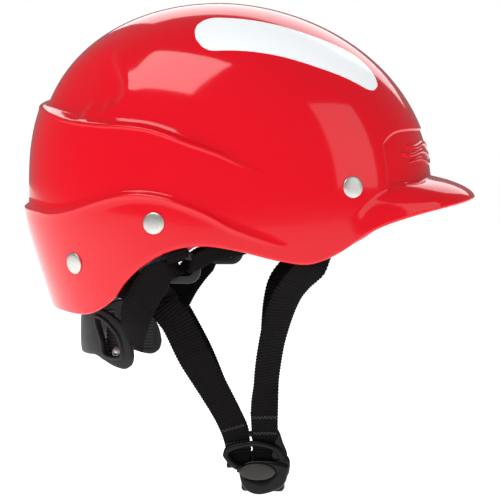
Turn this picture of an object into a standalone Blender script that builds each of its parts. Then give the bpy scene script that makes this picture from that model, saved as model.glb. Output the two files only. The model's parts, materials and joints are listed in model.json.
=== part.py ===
"""Whitewater helmet with its liner, pads, rear brace and buckled chin harness.

Units below are millimetres and degrees; MM turns them into Blender's metres as each mesh is made.
The origin is the middle of the crown pad's flat underside, where the head bears.
+X is forward over the brim, +Y is the wearer's left and +Z is up.
"""

import math

import bmesh
import bpy
from mathutils import Matrix, Vector

MM = 0.001

# ---- shell form -------------------------------------------------------------------------------
SHELL_TOP = 23.0
PLAN_CENTRE_X = -9.2
PLAN_POWER = 2.08  # 2 would be an ellipse; a little more squares its corners
# Each profile is (reach, drop, power, root): reach is the greatest distance from the plan centre.
FRONT_PROFILE = (134.3, 128.2, 2.32, 1.86)
BACK_PROFILE = (116.1, 113.9, 2.49, 2.07)
SIDE_PROFILE = (99.5, 194.0, 4.97, 2.07)
NAPE_TUCK_START = 128.0
NAPE_TUCK_SLOPE = 0.34
NAPE_TUCK_EASE = 12.0
SHELL_WALL = 3.0

# Height of each line round the shell against the angle from straight ahead.
RIM = (
    (0, -98.5), (10, -100), (20, -104.5), (29, -111), (34, -116), (43.5, -128.5), (53, -135.5),
    (63, -133.5), (77.5, -127), (88, -124.5), (98, -127), (108, -136.5), (114, -146),
    (119, -156.5), (125, -163.5), (133, -167.5), (150, -167), (180, -165),
)
UPPER_LEDGE = (
    (0, -55), (20, -56), (30, -62), (42, -77), (56, -87), (72, -76), (84, -66.5), (93, -61),
    (100, -56.5), (108, -52.5), (117, -50.7), (126, -50), (138, -48), (155, -42.5), (180, -36),
)
LOWER_LEDGE = (
    (0, -84.5), (14, -87), (24, -89), (31.5, -95.5), (42, -110), (50, -118), (60, -122),
    (67, -119), (79, -111), (87, -103), (95, -97), (101, -93.5), (108, -91.7), (115, -92.3),
    (122, -95), (130, -99.5), (136, -102.5), (144, -104.3), (153, -103), (180, -100.5),
)
UPPER_STEP = 4.6
UPPER_STEP_FADE = (62, 100)
LOWER_STEP = 2.3
LOWER_STEP_FADE = (60, 84)
LEDGE_WIDTH = 3.0
BRIM_REACH = 25.5
BRIM_FADE = (7, 41)
BRIM_CURL = 2.1
PANEL_DEPTH = 1.2
PANEL_EDGE = (27, 29)
SCOOP_DEPTH = 4.0
SCOOP_SIDES = (119, 126, 142, 170)
SCOOP_TOP = (-2, -26)
SHELL_COLUMN_STEP = 8
SHELL_ROWS = (9, 1, 4, 1, 5)  # crown, upper ledge, middle band, lower ledge, skirt

# ---- liner and pads ---------------------------------------------------------------------------
LINER_WALL = 10.0
LINER_CROWN_WALL = 12.6
LINER_GAP_CROWN = 1.0
LINER_GAP_RIM = 5.6
LINER_GAP_BAND = (55, 85)
LINER_ABOVE_RIM = 5.0
LINER_NAPE_LIFT = 6.0
PAD_GAP = 1.9
PAD_THICKNESS = 6.0
PAD_EDGE = 1.6
CROWN_PAD_RADIUS = 27.0
CROWN_PAD_CENTRE_X = -6.0
CROWN_PAD_EDGE = 1.2
CROWN_PAD_FALL = 0.3  # how much flatter the dome is at its rim
CROWN_PAD_CLEARANCE = 0.8
BROW_PAD_SPAN = 52
SIDE_PAD_SPAN = (66, 108)
REAR_PAD_SPAN = (138, 222)

# ---- decals -----------------------------------------------------------------------------------
DECAL_ROUTE = ((-16, 65, 0), (5, 63.5, 0), (29, 60, 0), (53, 54, 0), (73, 45, 0), (91, 34.5, 0))
DECAL_HALF_WIDTH = ((0, 12.8), (0.5, 11.6), (1, 10))
DECAL_THICKNESS = 0.5
DECAL_END = 0.16  # share of the length that each round end takes

# ---- rivets and webbing -----------------------------------------------------------------------
RIVET_RADIUS = 6.5
RIVET_DOME = 1.5
RIVET_FLANGE = 0.7
RIVET_SHANK_RADIUS = 2.2
RIVET_HOLE_RADIUS = 2.6
RIVET_PLACES = {"front": (80.4, -90.1), "middle": (-33.4, -111.1), "rear": (-82.6, -136.4)}
WASHER_THICKNESS = 0.9
WASHER_RADIUS = 6.0
WASHER_BEHIND_WEB = 0.5
RIVET_TAIL = 1.7
DRILL_REACH = (-14, 6)
WASHER_SET_BACK = {"front": 0.0, "middle": 0.0, "rear": 1.8}
WEB_WIDTH = 20.0
WEB_THICKNESS = 1.6
GAP = 0.35
WEB_CLEARANCE = 1.65

# ---- rear brace -------------------------------------------------------------------------------
BRACE_CENTRE_X = -40.0
BRACE_RADIUS = 57.4
BRACE_WALL = 2.6
BRACE_REACH = 74
BRACE_TOP = (
    (0, -170), (30, -168.5), (42, -166.5), (50, -167), (60, -171), (68, -177.5), (74, -190),
)
BRACE_BOTTOM = (
    (0, -196), (30, -196), (42, -196), (50, -198.5), (60, -202), (68, -203), (74, -199.5),
)
BRACE_WINDOW = (
    (44, -172.5), (52, -173), (60, -178), (65.5, -184.5), (66.5, -196), (52.5, -195.5), (50, -186),
)
BRACE_AXIS = (-93.0, 0.0, -157.0)
BRACE_PAD_REACH = 40
BRACE_PAD_HEIGHTS = (-172.5, -193.5)
BRACE_PAD_THICKNESS = 5.0
HANGER_TURN = 33
HANGER_WIDTH = 16
HANGER_LOW = -165.8
STUD_TURN = 58
STUD_HEIGHT = -193.0
STUD_PROFILE = ((0, 0), (3.2, 0), (3.2, 1.0), (2.0, 1.8), (0, 2.0))
STRIP_HALF_HEIGHT = 7
STRIP_WIDTH = 18
STRIP_THICKNESS = 1.2

# ---- chin harness -----------------------------------------------------------------------------
BUCKLE_PLACE = (20.0, -49.0, -262.0)
DIVIDER_PLACE = (8.0, 47.0, -268.0)
BUTTON_CENTRE = (0.6, -2.9)
BUTTON_SIZE = (22.0, 10.4)
BUTTON_RECESS = (23.0, 11.4)
BUTTON_LEVELS = ((-3.7, 1, 1), (-5.5, 1, 1), (-6.2, 0.86, 0.78))  # (y, share of width, share of height)
FRAME_WEB_WIDTH = 16.0
FRAME_OUTLINE = (
    (-11, -3), (-20.2, 4.6), (-20.8, 8.4), (-18.6, 12.2), (-11, 14.2), (-2, 15.8), (6, 14.8),
    (13.6, 12.0), (17.5, 8), (20, 4.5), (20.2, 0), (18.9, -5), (14, -5),
)
FRAME_WINDOW = (
    (-10.6, 0.6), (-17.4, 6.4), (-15.6, 9.0), (-10, 10.9), (-1.5, 12.2), (6, 11.2), (11, 9.2),
    (13, 7), (13, 4.2), (8, 4.4), (0, 4.8), (-7, 3.8),
)
SOCKET_OUTLINE = (
    (-10.8, -2), (-10.4, -7), (-8.8, -11.5), (-5, -15.6), (1.5, -17.2), (9.8, -15.2), (16.2, -11.4),
    (18.8, -5), (19.8, 1), (13, 3.2), (6, 3.9), (-1, 3.9), (-7, 2.6),
)
GUARD_OUTLINE = ((9.6, 8.0), (11.6, 21.5), (13.2, 22.0), (15.4, 15), (17.6, 7.5), (14.5, 3))
FRAME_FACES = (-3.2, 0.8)
SOCKET_FACES = (-4.6, 5.4)
GUARD_FACES = (0.2, 2.2)
RECESS_FACES = (-6.0, -2.1)
# Outlines of (y, z), drawn along X between two ends.
POCKET_OUTLINE = ((0.0, -0.6), (5.6, -0.6), (5.6, -8.2), (24, -8.2), (24, -24), (0.0, -24))
POCKET_ENDS = (-6.4, 14.4)
TONGUE_OUTLINE = ((1.3, -1.6), (4.9, -1.6), (4.9, -9.4), (16, -9.4), (16, -12.6), (1.3, -12.6))
TONGUE_ENDS = (-5.4, 13.4)
TONGUE_SLOT = ((7.5, -5), (12.5, -5), (12.5, -16), (7.5, -16))
TONGUE_SLOT_ENDS = (-3.4, 11.4)
CUTTER_FACES = (-8, 8)
DIVIDER_NARROWING = 0.95
DIVIDER_SHOULDER = 9  # the divider shares this many of the frame outline's points
DIVIDER_FOOT = ((16, -3), (13, -12), (-11, -12))
DIVIDER_FACES = (-1.8, 1.8)
DIVIDER_SLOT = (22, 5, 2, (1, -6.4))  # width, height, corner radius, centre

# Webbing inside the shell: (x, z, extra distance in from the shell's inner face).
ANCHOR_ROUTES = {
    "front_right": ((84.5, -83, 0), (80.4, -90.1, 0), (70, -109, 0), (60.5, -125, 0), (57.7, -134, 0)),
    "front_left": ((84.5, -83, 0), (80.4, -90.1, 0), (64, -111, 0), (49, -126, 0), (43.4, -134.4, 0)),
    "rear_right": (
        (-87.8, -134, 1.6), (-82.6, -136.4, 1), (-66, -143, 2.5), (-53, -149.5, 8), (-44, -153.5, 12.5),
    ),
    "rear_left": (
        (-87.8, -134, 1.6), (-82.6, -136.4, 1), (-73, -147, 1.6), (-64, -155, 1.6), (-60.4, -161, 1.6),
    ),
    "ring": ((-35, -103, 0), (-33.4, -111.1, 0), (-29.5, -117, 0), (-27, -121, 0), (-26, -123.5, 0)),
}
RING_PLACE = (-20.0, -137.5)
RING_INBOARD = 0.5
RING_OUTER = (25, 19, 8)  # width, height, corner radius
RING_HOLE = (16, 10, 4)
RING_HALF_DEPTH = 1.6
SIDE_STRAP_ROUTE = ((-6.5, -132.5, 1.0), (5, -127.3, 1.35), (16, -122.1, 1.7), (27, -118.2, 1.75))
BRACE_STRAP_ROUTE = (
    (-32, 92.5, -146), (-40, 90.5, -152), (-47, 87.5, -162), (-51, 79.5, -172), (-52.5, 69, -181),
    (-53, 61, -188),
)
BRACE_STRAP_END_WIDTH = 12
HARNESS_HINGES = {"right": (57.0, -81.5, -137.2), "left": (43.0, 84.0, -137.4)}
# Each strap: name, its route and its width's directions, for y measured outwards.
CHIN_STRAPS = {
    "right": (
        ("front",
         ((57, 81.5, -137.2), (56.4, 81.4, -140.5), (49, 80, -147), (41.8, 77.2, -155.5), (34.2, 71.5, -173),
          (29.4, 65.8, -192.5), (25.9, 58.5, -217.5), (24.9, 53, -234), (25.1, 50.8, -245.2)),
         ((0.93, -0.36, 0), (0.8, -0.55, 0), (0.72, -0.69, 0), (0.74, -0.67, 0), (0.98, -0.06, 0))),
        ("rear",
         ((-35.5, 77.5, -157), (-34, 77.2, -161), (-26, 75.8, -171.5), (-16.6, 72, -191.5),
          (-9.8, 67, -204.5), (-2.8, 61.5, -218), (2.8, 57, -229.5), (6.4, 52.6, -239.5), (7.7, 51, -245.4)),
         ((0.93, 0.1, 0.3), (0.8, 0.1, 0.55), (0.85, 0.1, 0.5), (0.9, 0, 0.4), (1, 0, 0.15))),
    ),
    "left": (
        ("front",
         ((43, 84, -137.4), (41.6, 83.8, -141), (32, 83, -147), (23, 81, -156), (18.4, 77, -169),
          (16, 70.5, -188), (13.8, 61.5, -217), (12.7, 52.5, -239), (12.9, 49.2, -251.4)),
         ((0.93, -0.3, 0), (0.7, -0.35, -0.5), (0.85, -0.5, -0.1), (0.8, -0.6, 0), (0.95, -0.2, 0))),
        ("rear",
         ((-60, 89.5, -163.2), (-58.6, 89.3, -166.5), (-48, 84, -182), (-34, 73, -204), (-22, 65, -225),
          (-10, 55, -242.5), (-5, 50.4, -250.6)),
         ((0.93, 0.1, 0.3), (0.8, 0.1, 0.55), (0.85, 0.1, 0.5), (0.9, 0, 0.4), (1, 0, 0.15))),
    ),
}
CHIN_WEB_AXIS = (8.0, 47.0, -277.6)
CHIN_WEB_ROUTE = (
    (23.9, -30.8, -273.0), (21.5, -20, -276.5), (18, -5, -279.2), (14.5, 12, -280.4), (11, 29, -280),
    (9.2, 40.5, -279), (9.1, 42.9, -278.6),
)
CHIN_WEB_STEPS = 16
KEEPER_STEP = 5
KEEPER_OUTER = (27, 9.4, 2.5)
KEEPER_HOLE = (22, 5.4, 1.5)
KEEPER_HALF_DEPTH = 3

COLOURS = {
    "shell_red": ((0.80, 0.003, 0.012), 0.12, 0.0),
    "foam_black": ((0.02, 0.02, 0.022), 0.9, 0.0),
    "pad_black": ((0.03, 0.03, 0.033), 0.85, 0.0),
    "decal_silver": ((0.80, 0.86, 0.90), 0.35, 0.0),
    "rivet_metal": ((0.72, 0.71, 0.68), 0.32, 1.0),
    "washer_metal": ((0.6, 0.6, 0.6), 0.4, 1.0),
    "webbing_black": ((0.012, 0.011, 0.012), 0.75, 0.0),
    "hardware_grey": ((0.045, 0.045, 0.05), 0.5, 0.0),
    "button_grey": ((0.11, 0.105, 0.11), 0.5, 0.0),
}

BODY_AXES = {}


# ---- small tools ------------------------------------------------------------------------------
def clear_scene():
    for obj in list(bpy.data.objects):
        bpy.data.objects.remove(obj, do_unlink=True)


def ease(value, start, end):
    """0 before start, 1 after end, and a smooth S between."""
    t = min(max((value - start) / (end - start), 0.0), 1.0)
    return t * t * (3 - 2 * t)


def through(points, at):
    """A smooth curve through (place, value) points, read at one place."""
    if at <= points[0][0]:
        return points[0][1]
    if at >= points[-1][0]:
        return points[-1][1]
    i = max(k for k in range(len(points) - 1) if points[k][0] <= at)

    def slope(k):
        low, high = max(k - 1, 0), min(k + 1, len(points) - 1)
        return (points[high][1] - points[low][1]) / (points[high][0] - points[low][0])

    (x0, y0), (x1, y1) = points[i], points[i + 1]
    span = x1 - x0
    t = (at - x0) / span
    rise = y1 - y0
    m0, m1 = slope(i) * span, slope(i + 1) * span
    return y0 + m0 * t + (3 * rise - 2 * m0 - m1) * t**2 + (m0 + m1 - 2 * rise) * t**3


def spline(points, count):
    """count + 1 points along a smooth curve through hand-placed points, by chord length."""
    places = [0.0]
    for a, b in zip(points, points[1:]):
        places.append(places[-1] + (Vector(b) - Vector(a)).length)
    tracks = [[(s, p[axis]) for s, p in zip(places, points)] for axis in range(3)]
    stops = [places[-1] * i / count for i in range(count + 1)]
    return [Vector([through(track, s) for track in tracks]) for s in stops]


def material(name):
    found = bpy.data.materials.get(name)
    if found:
        return found
    colour, roughness, metallic = COLOURS[name]
    made = bpy.data.materials.new(name)
    made.use_nodes = True
    shader = made.node_tree.nodes["Principled BSDF"]
    shader.inputs["Base Color"].default_value = (*colour, 1)
    shader.inputs["Roughness"].default_value = roughness
    shader.inputs["Metallic"].default_value = metallic
    return made


def body_axis(body, place, parent=None):
    """An empty on a joint's axis, which the body's pieces are parented to."""
    empty = bpy.data.objects.new(body + "_axis", None)
    empty.empty_display_size = 0.01
    bpy.context.scene.collection.objects.link(empty)
    world = Vector(place) * MM
    empty.location = world
    if parent:
        empty.parent = BODY_AXES[parent][0]
        empty.matrix_parent_inverse = Matrix.Translation(-BODY_AXES[parent][1])
    BODY_AXES[body] = (empty, world)


def finish_object(obj, look, body="helmet", sharp=40):
    obj.data.materials.clear()
    obj.data.materials.append(material(look))
    empty, world = BODY_AXES[body]
    obj.parent = empty
    obj.matrix_parent_inverse = Matrix.Translation(-world)
    obj.data.shade_smooth()
    obj.data.set_sharp_from_angle(angle=math.radians(sharp))
    return obj


def mesh_object(name, points, faces):
    """points are in millimetres; the faces are turned to point outwards."""
    mesh = bpy.data.meshes.new(name)
    mesh.from_pydata([tuple(Vector(p) * MM) for p in points], [], faces)
    bm = bmesh.new()
    bm.from_mesh(mesh)
    bmesh.ops.recalc_face_normals(bm, faces=bm.faces)
    bm.to_mesh(mesh)
    bm.free()
    obj = bpy.data.objects.new(name, mesh)
    bpy.context.scene.collection.objects.link(obj)
    return obj


def slab(name, outer, inner, wrap=False, pole=False):
    """A closed wall between two grids of points, outer[row][column] and inner[row][column]."""
    rows, columns = len(outer), len(outer[0])
    points, faces = [], []

    def lay(grid):
        index = []
        for r, line in enumerate(grid):
            if pole and r == 0:
                points.append(line[0])
                index.append([len(points) - 1] * columns)
                continue
            index.append(list(range(len(points), len(points) + columns)))
            points.extend(line)
        return index

    across = columns if wrap else columns - 1
    sheets = (lay(outer), lay(inner))
    for grid in sheets:
        for r in range(rows - 1):
            for c in range(across):
                d = (c + 1) % columns
                corners = (grid[r][c], grid[r][d], grid[r + 1][d], grid[r + 1][c])
                faces.append(tuple(dict.fromkeys(corners)))
    a, b = sheets
    open_rows = (rows - 1,) if pole else (0, rows - 1)
    edges = [(r, c, r, (c + 1) % columns) for r in open_rows for c in range(across)]
    if not wrap:
        edges += [(r, c, r + 1, c) for c in (0, columns - 1) for r in range(rows - 1)]
    for r, c, s, d in edges:
        faces.append(tuple(dict.fromkeys((a[r][c], a[s][d], b[s][d], b[r][c]))))
    return mesh_object(name, points, faces)


def turned(name, profile, place, axis, steps=14):
    """A solid of revolution; profile is (radius, height) pairs from the axis to the axis."""
    points, faces, rings = [], [], []
    frame = Vector((0, 0, 1)).rotation_difference(Vector(axis)).to_matrix()
    for radius, height in profile:
        count = 1 if radius == 0 else steps
        ring = []
        for k in range(count):
            angle = math.tau * k / steps
            local = Vector((radius * math.cos(angle), radius * math.sin(angle), height))
            points.append(Vector(place) + frame @ local)
            ring.append(len(points) - 1)
        rings.append(ring * (steps if count == 1 else 1))
    closed = profile[0][0] != 0
    pairs = list(zip(rings, rings[1:])) + ([(rings[-1], rings[0])] if closed else [])
    for low, high in pairs:
        for k in range(steps):
            n = (k + 1) % steps
            face = tuple(dict.fromkeys((low[k], low[n], high[n], high[k])))
            if len(face) > 2:
                faces.append(face)
    return mesh_object(name, points, faces)


def prism(name, outline, ends, place, along_x=False):
    """An outline drawn straight between two ends: (x, z) pairs along Y, or (y, z) pairs along X."""
    rows = []
    for end in ends:
        if along_x:
            rows.append([Vector(place) + Vector((end, y, z)) for y, z in outline])
        else:
            rows.append([Vector(place) + Vector((x, end, z)) for x, z in outline])
    return stacked(name, rows)


def stacked(name, rows):
    """A closed solid through matching loops, capped at both ends."""
    count = len(rows[0])
    points = [p for row in rows for p in row]
    faces = [tuple(range(count)), tuple(range(len(points) - count, len(points)))]
    for level in range(len(rows) - 1):
        low = level * count
        for k in range(count):
            n = (k + 1) % count
            faces.append((low + k, low + n, low + count + n, low + count + k))
    return mesh_object(name, points, faces)


def rounded_box(width, height, radius, centre=(0, 0), steps=4):
    """The outline of a rectangle with round corners, as (x, z) pairs."""
    points = []
    for turn, (sx, sz) in enumerate(((1, 1), (-1, 1), (-1, -1), (1, -1))):
        cx = centre[0] + sx * (width / 2 - radius)
        cz = centre[1] + sz * (height / 2 - radius)
        for k in range(steps + 1):
            angle = math.radians(90 * turn + 90 * k / steps)
            points.append((cx + radius * math.cos(angle), cz + radius * math.sin(angle)))
    return points


def oval(width, height, steps=20):
    turns = [math.tau * k / steps for k in range(steps)]
    return [(width / 2 * math.cos(a), height / 2 * math.sin(a)) for a in turns]


def cut(target, cutter, operation="DIFFERENCE"):
    """A Boolean that stays on the target; the cutter is kept as a hidden guide."""
    step = target.modifiers.new(cutter.name, "BOOLEAN")
    step.operation = operation
    step.object = cutter
    cutter.hide_render = True
    cutter.display_type = "WIRE"


def ribbon(
    name, route, across, look, body="helmet", width=WEB_WIDTH, end_width=None, count=14,
    thick=WEB_THICKNESS,
):
    """Flat webbing along a smooth route; across lists the width's direction at even places."""
    path = spline(route, count)
    end_width = end_width or width
    upper, lower = [], []
    for i, point in enumerate(path):
        t = i / count
        along = (path[min(i + 1, count)] - path[max(i - 1, 0)]).normalized()
        spot = t * (len(across) - 1)
        k = min(int(spot), len(across) - 2)
        side = Vector(across[k]).lerp(Vector(across[k + 1]), spot - k)
        side = (side - side.dot(along) * along).normalized()
        face = side.cross(along).normalized() * thick / 2
        half = side * (width + (end_width - width) * ease(t, 0.55, 1.0)) / 2
        upper.append([point + half + face, point - half + face])
        lower.append([point + half - face, point - half - face])
    return finish_object(slab(name, upper, lower), look, body)


# ---- shell surface ----------------------------------------------------------------------------
def profile_reach(depth, profile):
    reach, drop, power, root = profile
    left = max(0.0, 1 - depth / drop)
    return reach * (1 - left**power) ** (1 / root)


def nape_tuck(depth):
    past = max(0.0, depth - NAPE_TUCK_START)
    return NAPE_TUCK_SLOPE * past * past / (past + NAPE_TUCK_EASE)


def plan_reaches(depth, ahead):
    lengthwise = profile_reach(depth, FRONT_PROFILE if ahead else BACK_PROFILE)
    if not ahead:
        lengthwise -= nape_tuck(depth)
    return lengthwise, profile_reach(depth, SIDE_PROFILE)


def plain_radius(angle, depth):
    """Distance from the plan centre to the shell without its ledges, brim, panel and scoops."""
    c, s = math.cos(math.radians(angle)), math.sin(math.radians(angle))
    length, width = plan_reaches(max(depth, 1e-4), c >= 0)
    power = PLAN_POWER
    return ((abs(c) / length) ** power + (abs(s) / width) ** power) ** (-1 / power)


def line_depth(line, angle):
    return SHELL_TOP - through(line, abs(angle))


def relief(angle, depth):
    """How far the shell's outer face stands out from the plain form."""
    turn = abs(angle)
    upper, lower, rim = (line_depth(line, turn) for line in (UPPER_LEDGE, LOWER_LEDGE, RIM))
    out = UPPER_STEP * ease(turn, *UPPER_STEP_FADE) * ease(depth, upper, upper + LEDGE_WIDTH)
    out += LOWER_STEP * ease(turn, *LOWER_STEP_FADE) * ease(depth, lower, lower + LEDGE_WIDTH)
    in_panel = ease(depth, upper, upper + LEDGE_WIDTH) * (1 - ease(depth, lower, lower + LEDGE_WIDTH))
    out -= PANEL_DEPTH * in_panel * (1 - ease(turn, *PANEL_EDGE))
    share = min(max((depth - lower) / (rim - lower), 0.0), 1.0)
    out += BRIM_REACH * (1 - ease(turn, *BRIM_FADE)) * (1 - (1 - share) ** BRIM_CURL)
    front, full, fading, gone = SCOOP_SIDES
    sideways = ease(turn, front, full) * (1 - ease(turn, fading, gone))
    height = SHELL_TOP - depth
    downward = 1 - ease(height, SCOOP_TOP[1], SCOOP_TOP[0])
    above_ledge = 1 - ease(depth, upper, upper + LEDGE_WIDTH)
    return out - SCOOP_DEPTH * sideways * downward * above_ledge


def place_on(angle, depth, radius):
    a = math.radians(angle)
    return Vector((PLAN_CENTRE_X + radius * math.cos(a), radius * math.sin(a), SHELL_TOP - depth))


def outer_point(angle, depth):
    return place_on(angle, depth, plain_radius(angle, depth) + relief(angle, depth))


def plain_point(angle, depth):
    return place_on(angle, depth, plain_radius(angle, depth))


def normal_at(surface, angle, depth):
    """Outward direction of a surface function, by small steps on each side."""
    if depth < 0.05:
        return Vector((0, 0, 1))
    turn_step, drop_step = 0.4, min(0.4, depth * 0.4)
    round_way = surface(angle + turn_step, depth) - surface(angle - turn_step, depth)
    down_way = surface(angle, depth + drop_step) - surface(angle, depth - drop_step)
    return down_way.cross(round_way).normalized()


def inset_point(angle, depth, inset):
    return plain_point(angle, depth) - normal_at(plain_point, angle, depth) * inset


def side_reach(x, z, inset):
    """Half-width of the plain form, moved in by inset, at a place along it."""
    length, width = plan_reaches(SHELL_TOP - z, x >= PLAN_CENTRE_X)
    share = abs(x - PLAN_CENTRE_X) / (length - inset)
    return (width - inset) * (1 - share**PLAN_POWER) ** (1 / PLAN_POWER)


def crown_depth(x, y):
    """Depth of the plain form below its top at a place in plan."""
    angle = math.degrees(math.atan2(y, x - PLAN_CENTRE_X))
    wanted = math.hypot(x - PLAN_CENTRE_X, y)
    low, high = 0.0, 120.0
    for _ in range(40):
        middle = (low + high) / 2
        if plain_radius(angle, middle) < wanted:
            low = middle
        else:
            high = middle
    return angle, low


def shell_depths(angle):
    """Depths of the shell's rows at one angle: they follow the ledges and the rim."""
    upper, lower, rim = (line_depth(line, angle) for line in (UPPER_LEDGE, LOWER_LEDGE, RIM))
    crown, ledge, band, low_ledge, skirt = SHELL_ROWS
    stops = [upper * (k / crown) ** 2 for k in range(crown + 1)]
    for start, end, count in (
        (upper, upper + LEDGE_WIDTH, ledge),
        (upper + LEDGE_WIDTH, lower, band),
        (lower, lower + LEDGE_WIDTH, low_ledge),
        (lower + LEDGE_WIDTH, rim, skirt),
    ):
        stops += [start + (end - start) * (k + 1) / count for k in range(count)]
    return stops


def rivet_spot(name, side):
    """(angle, depth) of a rivet on the outer face."""
    x, z = RIVET_PLACES[name]
    depth = SHELL_TOP - z
    angle = math.degrees(math.atan2(side_reach(x, z, 0), x - PLAN_CENTRE_X))
    return side * angle, depth


# ---- shell, liner and pads --------------------------------------------------------------------
def shell_columns():
    wanted = set(range(-180, 180, SHELL_COLUMN_STEP)) | {s * e for s in (-1, 1) for e in PANEL_EDGE}
    return sorted(wanted - {s * 28 for s in (-1, 1)})


def make_shell():
    columns = shell_columns()
    stops = [shell_depths(angle) for angle in columns]
    outer, inner = [], []
    for row in range(len(stops[0])):
        line = [outer_point(angle, stops[c][row]) for c, angle in enumerate(columns)]
        under = []
        for c, angle in enumerate(columns):
            inward = normal_at(outer_point, angle, max(stops[c][row], 1e-3)) * SHELL_WALL
            under.append(line[c] - inward)
        outer.append(line)
        inner.append(under)
    outer[0] = [Vector((PLAN_CENTRE_X, 0, SHELL_TOP))] * len(columns)
    inner[0] = [Vector((PLAN_CENTRE_X, 0, SHELL_TOP - SHELL_WALL))] * len(columns)
    return finish_object(slab("outer_shell", outer, inner, wrap=True, pole=True), "shell_red", sharp=50)


def liner_gap(depth):
    return LINER_GAP_CROWN + (LINER_GAP_RIM - LINER_GAP_CROWN) * ease(depth, *LINER_GAP_BAND)


def liner_wall(depth):
    return LINER_CROWN_WALL + (LINER_WALL - LINER_CROWN_WALL) * ease(depth, 20, 80)


def liner_inset(depth):
    return SHELL_WALL + liner_gap(depth) + liner_wall(depth)


def liner_end(angle):
    """Depth of the liner's lower edge: above the rim, and higher still over the brace's hangers."""
    nape = LINER_NAPE_LIFT * ease(abs(angle), 135, 152)
    return line_depth(RIM, angle) - LINER_ABOVE_RIM - nape


def make_liner(columns=36, rows=9):
    angles = [-180 + 360 * k / columns for k in range(columns)]
    outer, inner = [], []
    for r in range(rows + 1):
        outer.append([])
        inner.append([])
        for angle in angles:
            depth = max(liner_end(angle) * (r / rows) ** 1.7, 0.02)
            near = [relief(angle + a, depth + d) for a in (-6, 0, 6) for d in (-6, 0, 6)]
            hollow = max(0.0, -min(near))
            outer[-1].append(inset_point(angle, depth, SHELL_WALL + liner_gap(depth) + hollow))
            inner[-1].append(inset_point(angle, depth, liner_inset(depth)))
    top = SHELL_TOP - SHELL_WALL - LINER_GAP_CROWN
    outer[0] = [Vector((PLAN_CENTRE_X, 0, top))] * columns
    inner[0] = [Vector((PLAN_CENTRE_X, 0, top - LINER_CROWN_WALL))] * columns
    return finish_object(slab("foam_liner", outer, inner, wrap=True, pole=True), "foam_black")


def make_crown_pad(steps=28):
    """A lens of foam under the crown, flat below, where the head bears."""
    liner_under = SHELL_TOP - SHELL_WALL - LINER_GAP_CROWN - LINER_CROWN_WALL
    thickness = liner_under - CROWN_PAD_CLEARANCE
    profile = [(0, 0), (CROWN_PAD_RADIUS - 1, 0), (CROWN_PAD_RADIUS, CROWN_PAD_EDGE / 2)]
    for share in (0.97, 0.75, 0.5, 0.25):
        rise = (1 - share**2) * (1 - CROWN_PAD_FALL * share)
        profile.append((CROWN_PAD_RADIUS * share, CROWN_PAD_EDGE + (thickness - CROWN_PAD_EDGE) * rise))
    profile.append((0, thickness))
    obj = turned("crown_pad", profile, (CROWN_PAD_CENTRE_X, 0, 0), (0, 0, 1), steps)
    return finish_object(obj, "pad_black")


def make_wall_pad(name, first, last, top, bottom, columns=10, rows=5):
    """A crowned pad on the liner's inner face, between two angles and two height curves."""
    outer, inner = [], []
    for r in range(rows + 1):
        outer.append([])
        inner.append([])
        for c in range(columns + 1):
            u, v = 2 * c / columns - 1, 2 * r / rows - 1
            angle = first + (last - first) * c / columns
            high, low = top(angle), bottom(angle)
            depth = SHELL_TOP - (high + (low - high) * r / rows)
            seat = liner_inset(depth) + PAD_GAP
            crown = (1 - u**6) * (1 - v**4)
            outer[-1].append(inset_point(angle, depth, seat))
            inner[-1].append(inset_point(angle, depth, seat + PAD_EDGE + (PAD_THICKNESS - PAD_EDGE) * crown))
    return finish_object(slab(name, outer, inner), "pad_black")


def make_pads():
    make_crown_pad()
    make_wall_pad(
        "brow_pad", -BROW_PAD_SPAN, BROW_PAD_SPAN,
        lambda a: -52 - 14 * ease(abs(a), 20, 50),
        lambda a: through(RIM, abs(a)) + 5 - 10 * ease(abs(a), 22, 36),
        columns=16,
    )
    for name, side in (("right", -1), ("left", 1)):
        first, last = (side * turn for turn in SIDE_PAD_SPAN)
        make_wall_pad("side_pad_" + name, first, last, lambda a: -58.0, lambda a: through(RIM, abs(a)) + 14)
    make_wall_pad("rear_pad", *REAR_PAD_SPAN, lambda a: -78.0, lambda a: -132.0, columns=12)


def make_decal(name, side, columns=4, rows=14):
    """A long round-ended patch that follows the crown, just proud of it."""
    path = spline(DECAL_ROUTE, rows)
    outer, inner = [], []
    for r, point in enumerate(path):
        t = r / rows
        along = (path[min(r + 1, rows)] - path[max(r - 1, 0)]).normalized()
        across = Vector((-along.y, along.x, 0))
        from_end = min(t, 1 - t, DECAL_END) / DECAL_END
        roundness = math.sqrt(1 - (1 - from_end) ** 2)
        reach = through(DECAL_HALF_WIDTH, t) * max(roundness, 0.18)
        outer.append([])
        inner.append([])
        for c in range(columns + 1):
            spot = point + across * reach * (2 * c / columns - 1)
            angle, depth = crown_depth(spot.x, side * spot.y)
            outer[-1].append(inset_point(angle, depth, -GAP - DECAL_THICKNESS))
            inner[-1].append(inset_point(angle, depth, -GAP))
    return finish_object(slab("reflective_decal_" + name, outer, inner), "decal_silver")


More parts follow.
